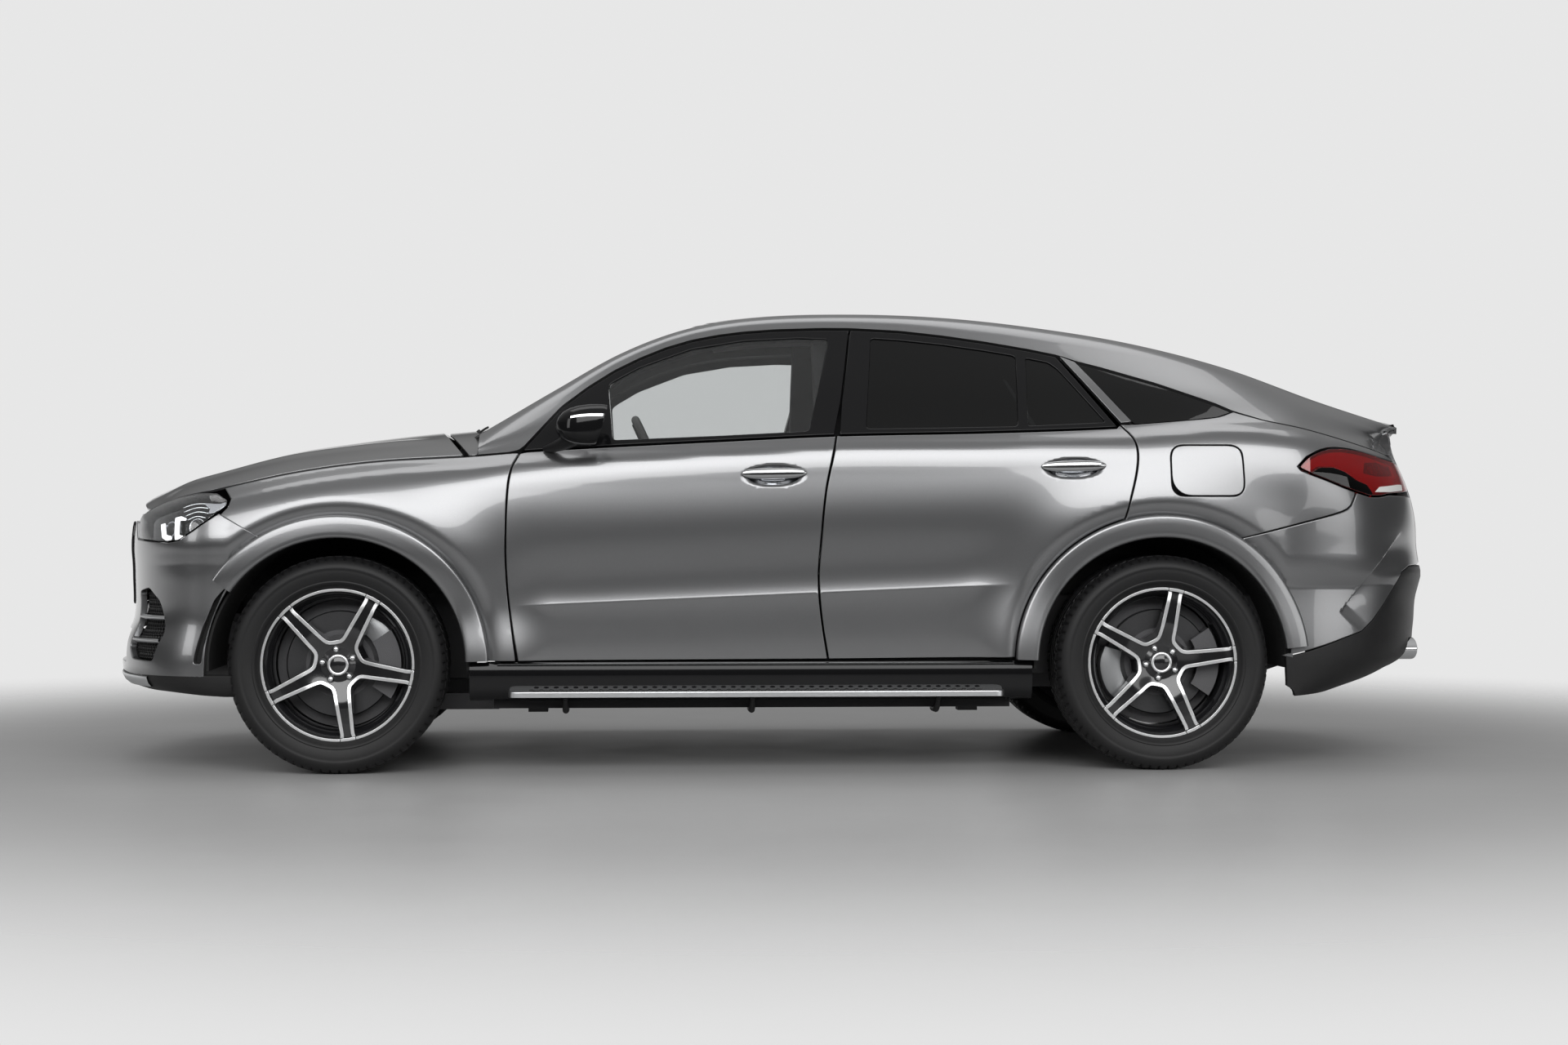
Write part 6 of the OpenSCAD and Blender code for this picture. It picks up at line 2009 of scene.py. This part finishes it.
class VEHICLE_OT_stage(Undoable, bpy.types.Operator):
    """Set the floor, the lights, the world and the camera"""
    bl_idname = "vehicle.stage"
    bl_label = "Stage"

    def execute(self, context):
        scene = context.scene
        settings = scene.vehicle_stage
        mesh = bpy.data.meshes.new("floor")
        mesh.from_pydata([(-40, -30, 0), (40, -30, 0), (40, 30, 0), (-40, 30, 0)], [], [(0, 1, 2, 3)])
        floor = bpy.data.objects.new("floor", mesh)
        cover = finish("floor", settings.floor, 0.42, grain=(3, 0.01), vary=0.03)
        tree = cover.node_tree
        edge = node(tree, "NewGeometry")
        far = node(tree, "VectorMath", [(0, edge.outputs["Position"])], operation="LENGTH")
        fade = node(tree, "MapRange", [("Value", far.outputs["Value"])], interpolation_type="SMOOTHSTEP",
                    From_Min=FLOOR_FADE[0], From_Max=FLOOR_FADE[1], To_Min=1.0, To_Max=0.0)
        tree.links.new(fade.outputs[0], tree.nodes["Principled BSDF"].inputs["Alpha"])
        mesh.materials.append(cover)
        scene.collection.objects.link(floor)
        for name, place, aim, wide, tall, watts in LAMPS:
            data = bpy.data.lights.new(name, "AREA")
            data.shape, data.size, data.size_y, data.energy = "RECTANGLE", wide, tall, watts
            lamp = bpy.data.objects.new(name, data)
            lamp.location = place
            lamp.rotation_euler = (Vector(aim) - Vector(place)).to_track_quat("-Z", "Y").to_euler()
            scene.collection.objects.link(lamp)
        world = bpy.data.worlds.new("studio")
        world.use_nodes = True
        scene.world = world
        tree = world.node_tree
        sky = tree.nodes["Background"]
        sky.inputs["Strength"].default_value = 0.75
        way = node(tree, "TexCoord")
        height = node(tree, "SeparateXYZ", [(0, way.outputs["Generated"])])
        ramp = node(tree, "ValToRGB", [(0, height.outputs["Z"])])
        ramp.color_ramp.elements[0].position, ramp.color_ramp.elements[0].color = 0.0, (0.06, 0.06, 0.06, 1)
        ramp.color_ramp.elements[1].position, ramp.color_ramp.elements[1].color = 0.9, (0.6, 0.6, 0.6, 1)
        for spot, tone in ((0.14, 0.08), (0.45, 0.4)):
            ramp.color_ramp.elements.new(spot).color = (tone, tone, tone, 1)
        tree.links.new(ramp.outputs[0], sky.inputs["Color"])
        white = node(tree, "Background", Color=(0.8, 0.8, 0.8, 1), Strength=1.0)
        path = node(tree, "LightPath")
        seen = maths(tree, "MAXIMUM", path.outputs["Is Camera Ray"], path.outputs["Is Transmission Ray"])
        low = node(tree, "VectorMath", [(0, way.outputs["Generated"])], operation="DOT_PRODUCT")
        low.inputs[1].default_value = (0, -1, -3.5)
        behind = node(tree, "MapRange", [("Value", low.outputs["Value"])], From_Min=0.3, From_Max=0.7,
            To_Min=0.0, To_Max=1.0)
        shiny = maths(tree, "MULTIPLY", path.outputs["Is Glossy Ray"], behind.outputs[0])
        seen = maths(tree, "MAXIMUM", seen, shiny)
        mix = node(tree, "MixShader", [(0, seen), (1, sky.outputs[0]), (2, white.outputs[0])])
        tree.links.new(mix.outputs[0], tree.nodes["World Output"].inputs["Surface"])
        data = bpy.data.cameras.new("camera")
        data.sensor_width, data.lens, data.clip_end = 36, settings.lens, 200
        camera = bpy.data.objects.new("camera", data)
        camera.location = settings.camera_place
        camera.rotation_euler = Vector(settings.camera_aim).to_track_quat("-Z", "Y").to_euler()
        scene.collection.objects.link(camera)
        scene.camera = camera
        scene.view_settings.view_transform = "Standard"
        return {"FINISHED"}


class VEHICLE_PT_panel(bpy.types.Panel):
    bl_idname = "VEHICLE_PT_panel"
    bl_label = "Coupe Sport Utility Vehicle"
    bl_space_type = "VIEW_3D"
    bl_region_type = "UI"
    bl_category = "Vehicle"

    def draw(self, context):
        layout = self.layout
        for settings in (context.scene.vehicle_finish, context.scene.vehicle_wheels,
            context.scene.vehicle_stage):
            box = layout.box()
            for key in settings.__annotations__:
                box.prop(settings, key)
        for operator in OPERATORS:
            layout.operator(operator.bl_idname)


OPERATORS = [
    VEHICLE_OT_shell, VEHICLE_OT_glass, VEHICLE_OT_doors, VEHICLE_OT_lids, VEHICLE_OT_front_end,
    VEHICLE_OT_rear_end,
    VEHICLE_OT_wheels, VEHICLE_OT_cabin, VEHICLE_OT_bare_frame, VEHICLE_OT_stage]
CLASSES = [VehicleFinish, VehicleWheels, VehicleStage, *OPERATORS, VEHICLE_PT_panel]


def register():
    """Registers the classes and their settings."""
    for c in CLASSES:
        bpy.utils.register_class(c)
    bpy.types.Scene.vehicle_finish = bpy.props.PointerProperty(type=VehicleFinish)
    bpy.types.Scene.vehicle_wheels = bpy.props.PointerProperty(type=VehicleWheels)
    bpy.types.Scene.vehicle_stage = bpy.props.PointerProperty(type=VehicleStage)


def unregister():
    """Removes the settings and the classes."""
    for name in ("vehicle_finish", "vehicle_wheels", "vehicle_stage"):
        delattr(bpy.types.Scene, name)
    for c in reversed(CLASSES):
        bpy.utils.unregister_class(c)


def main():
    """Dresses the frame and sets the stage."""
    register()
    for operator in OPERATORS:
        getattr(bpy.ops.vehicle, operator.bl_idname.split(".")[1])()


if __name__ == "__main__":
    main()
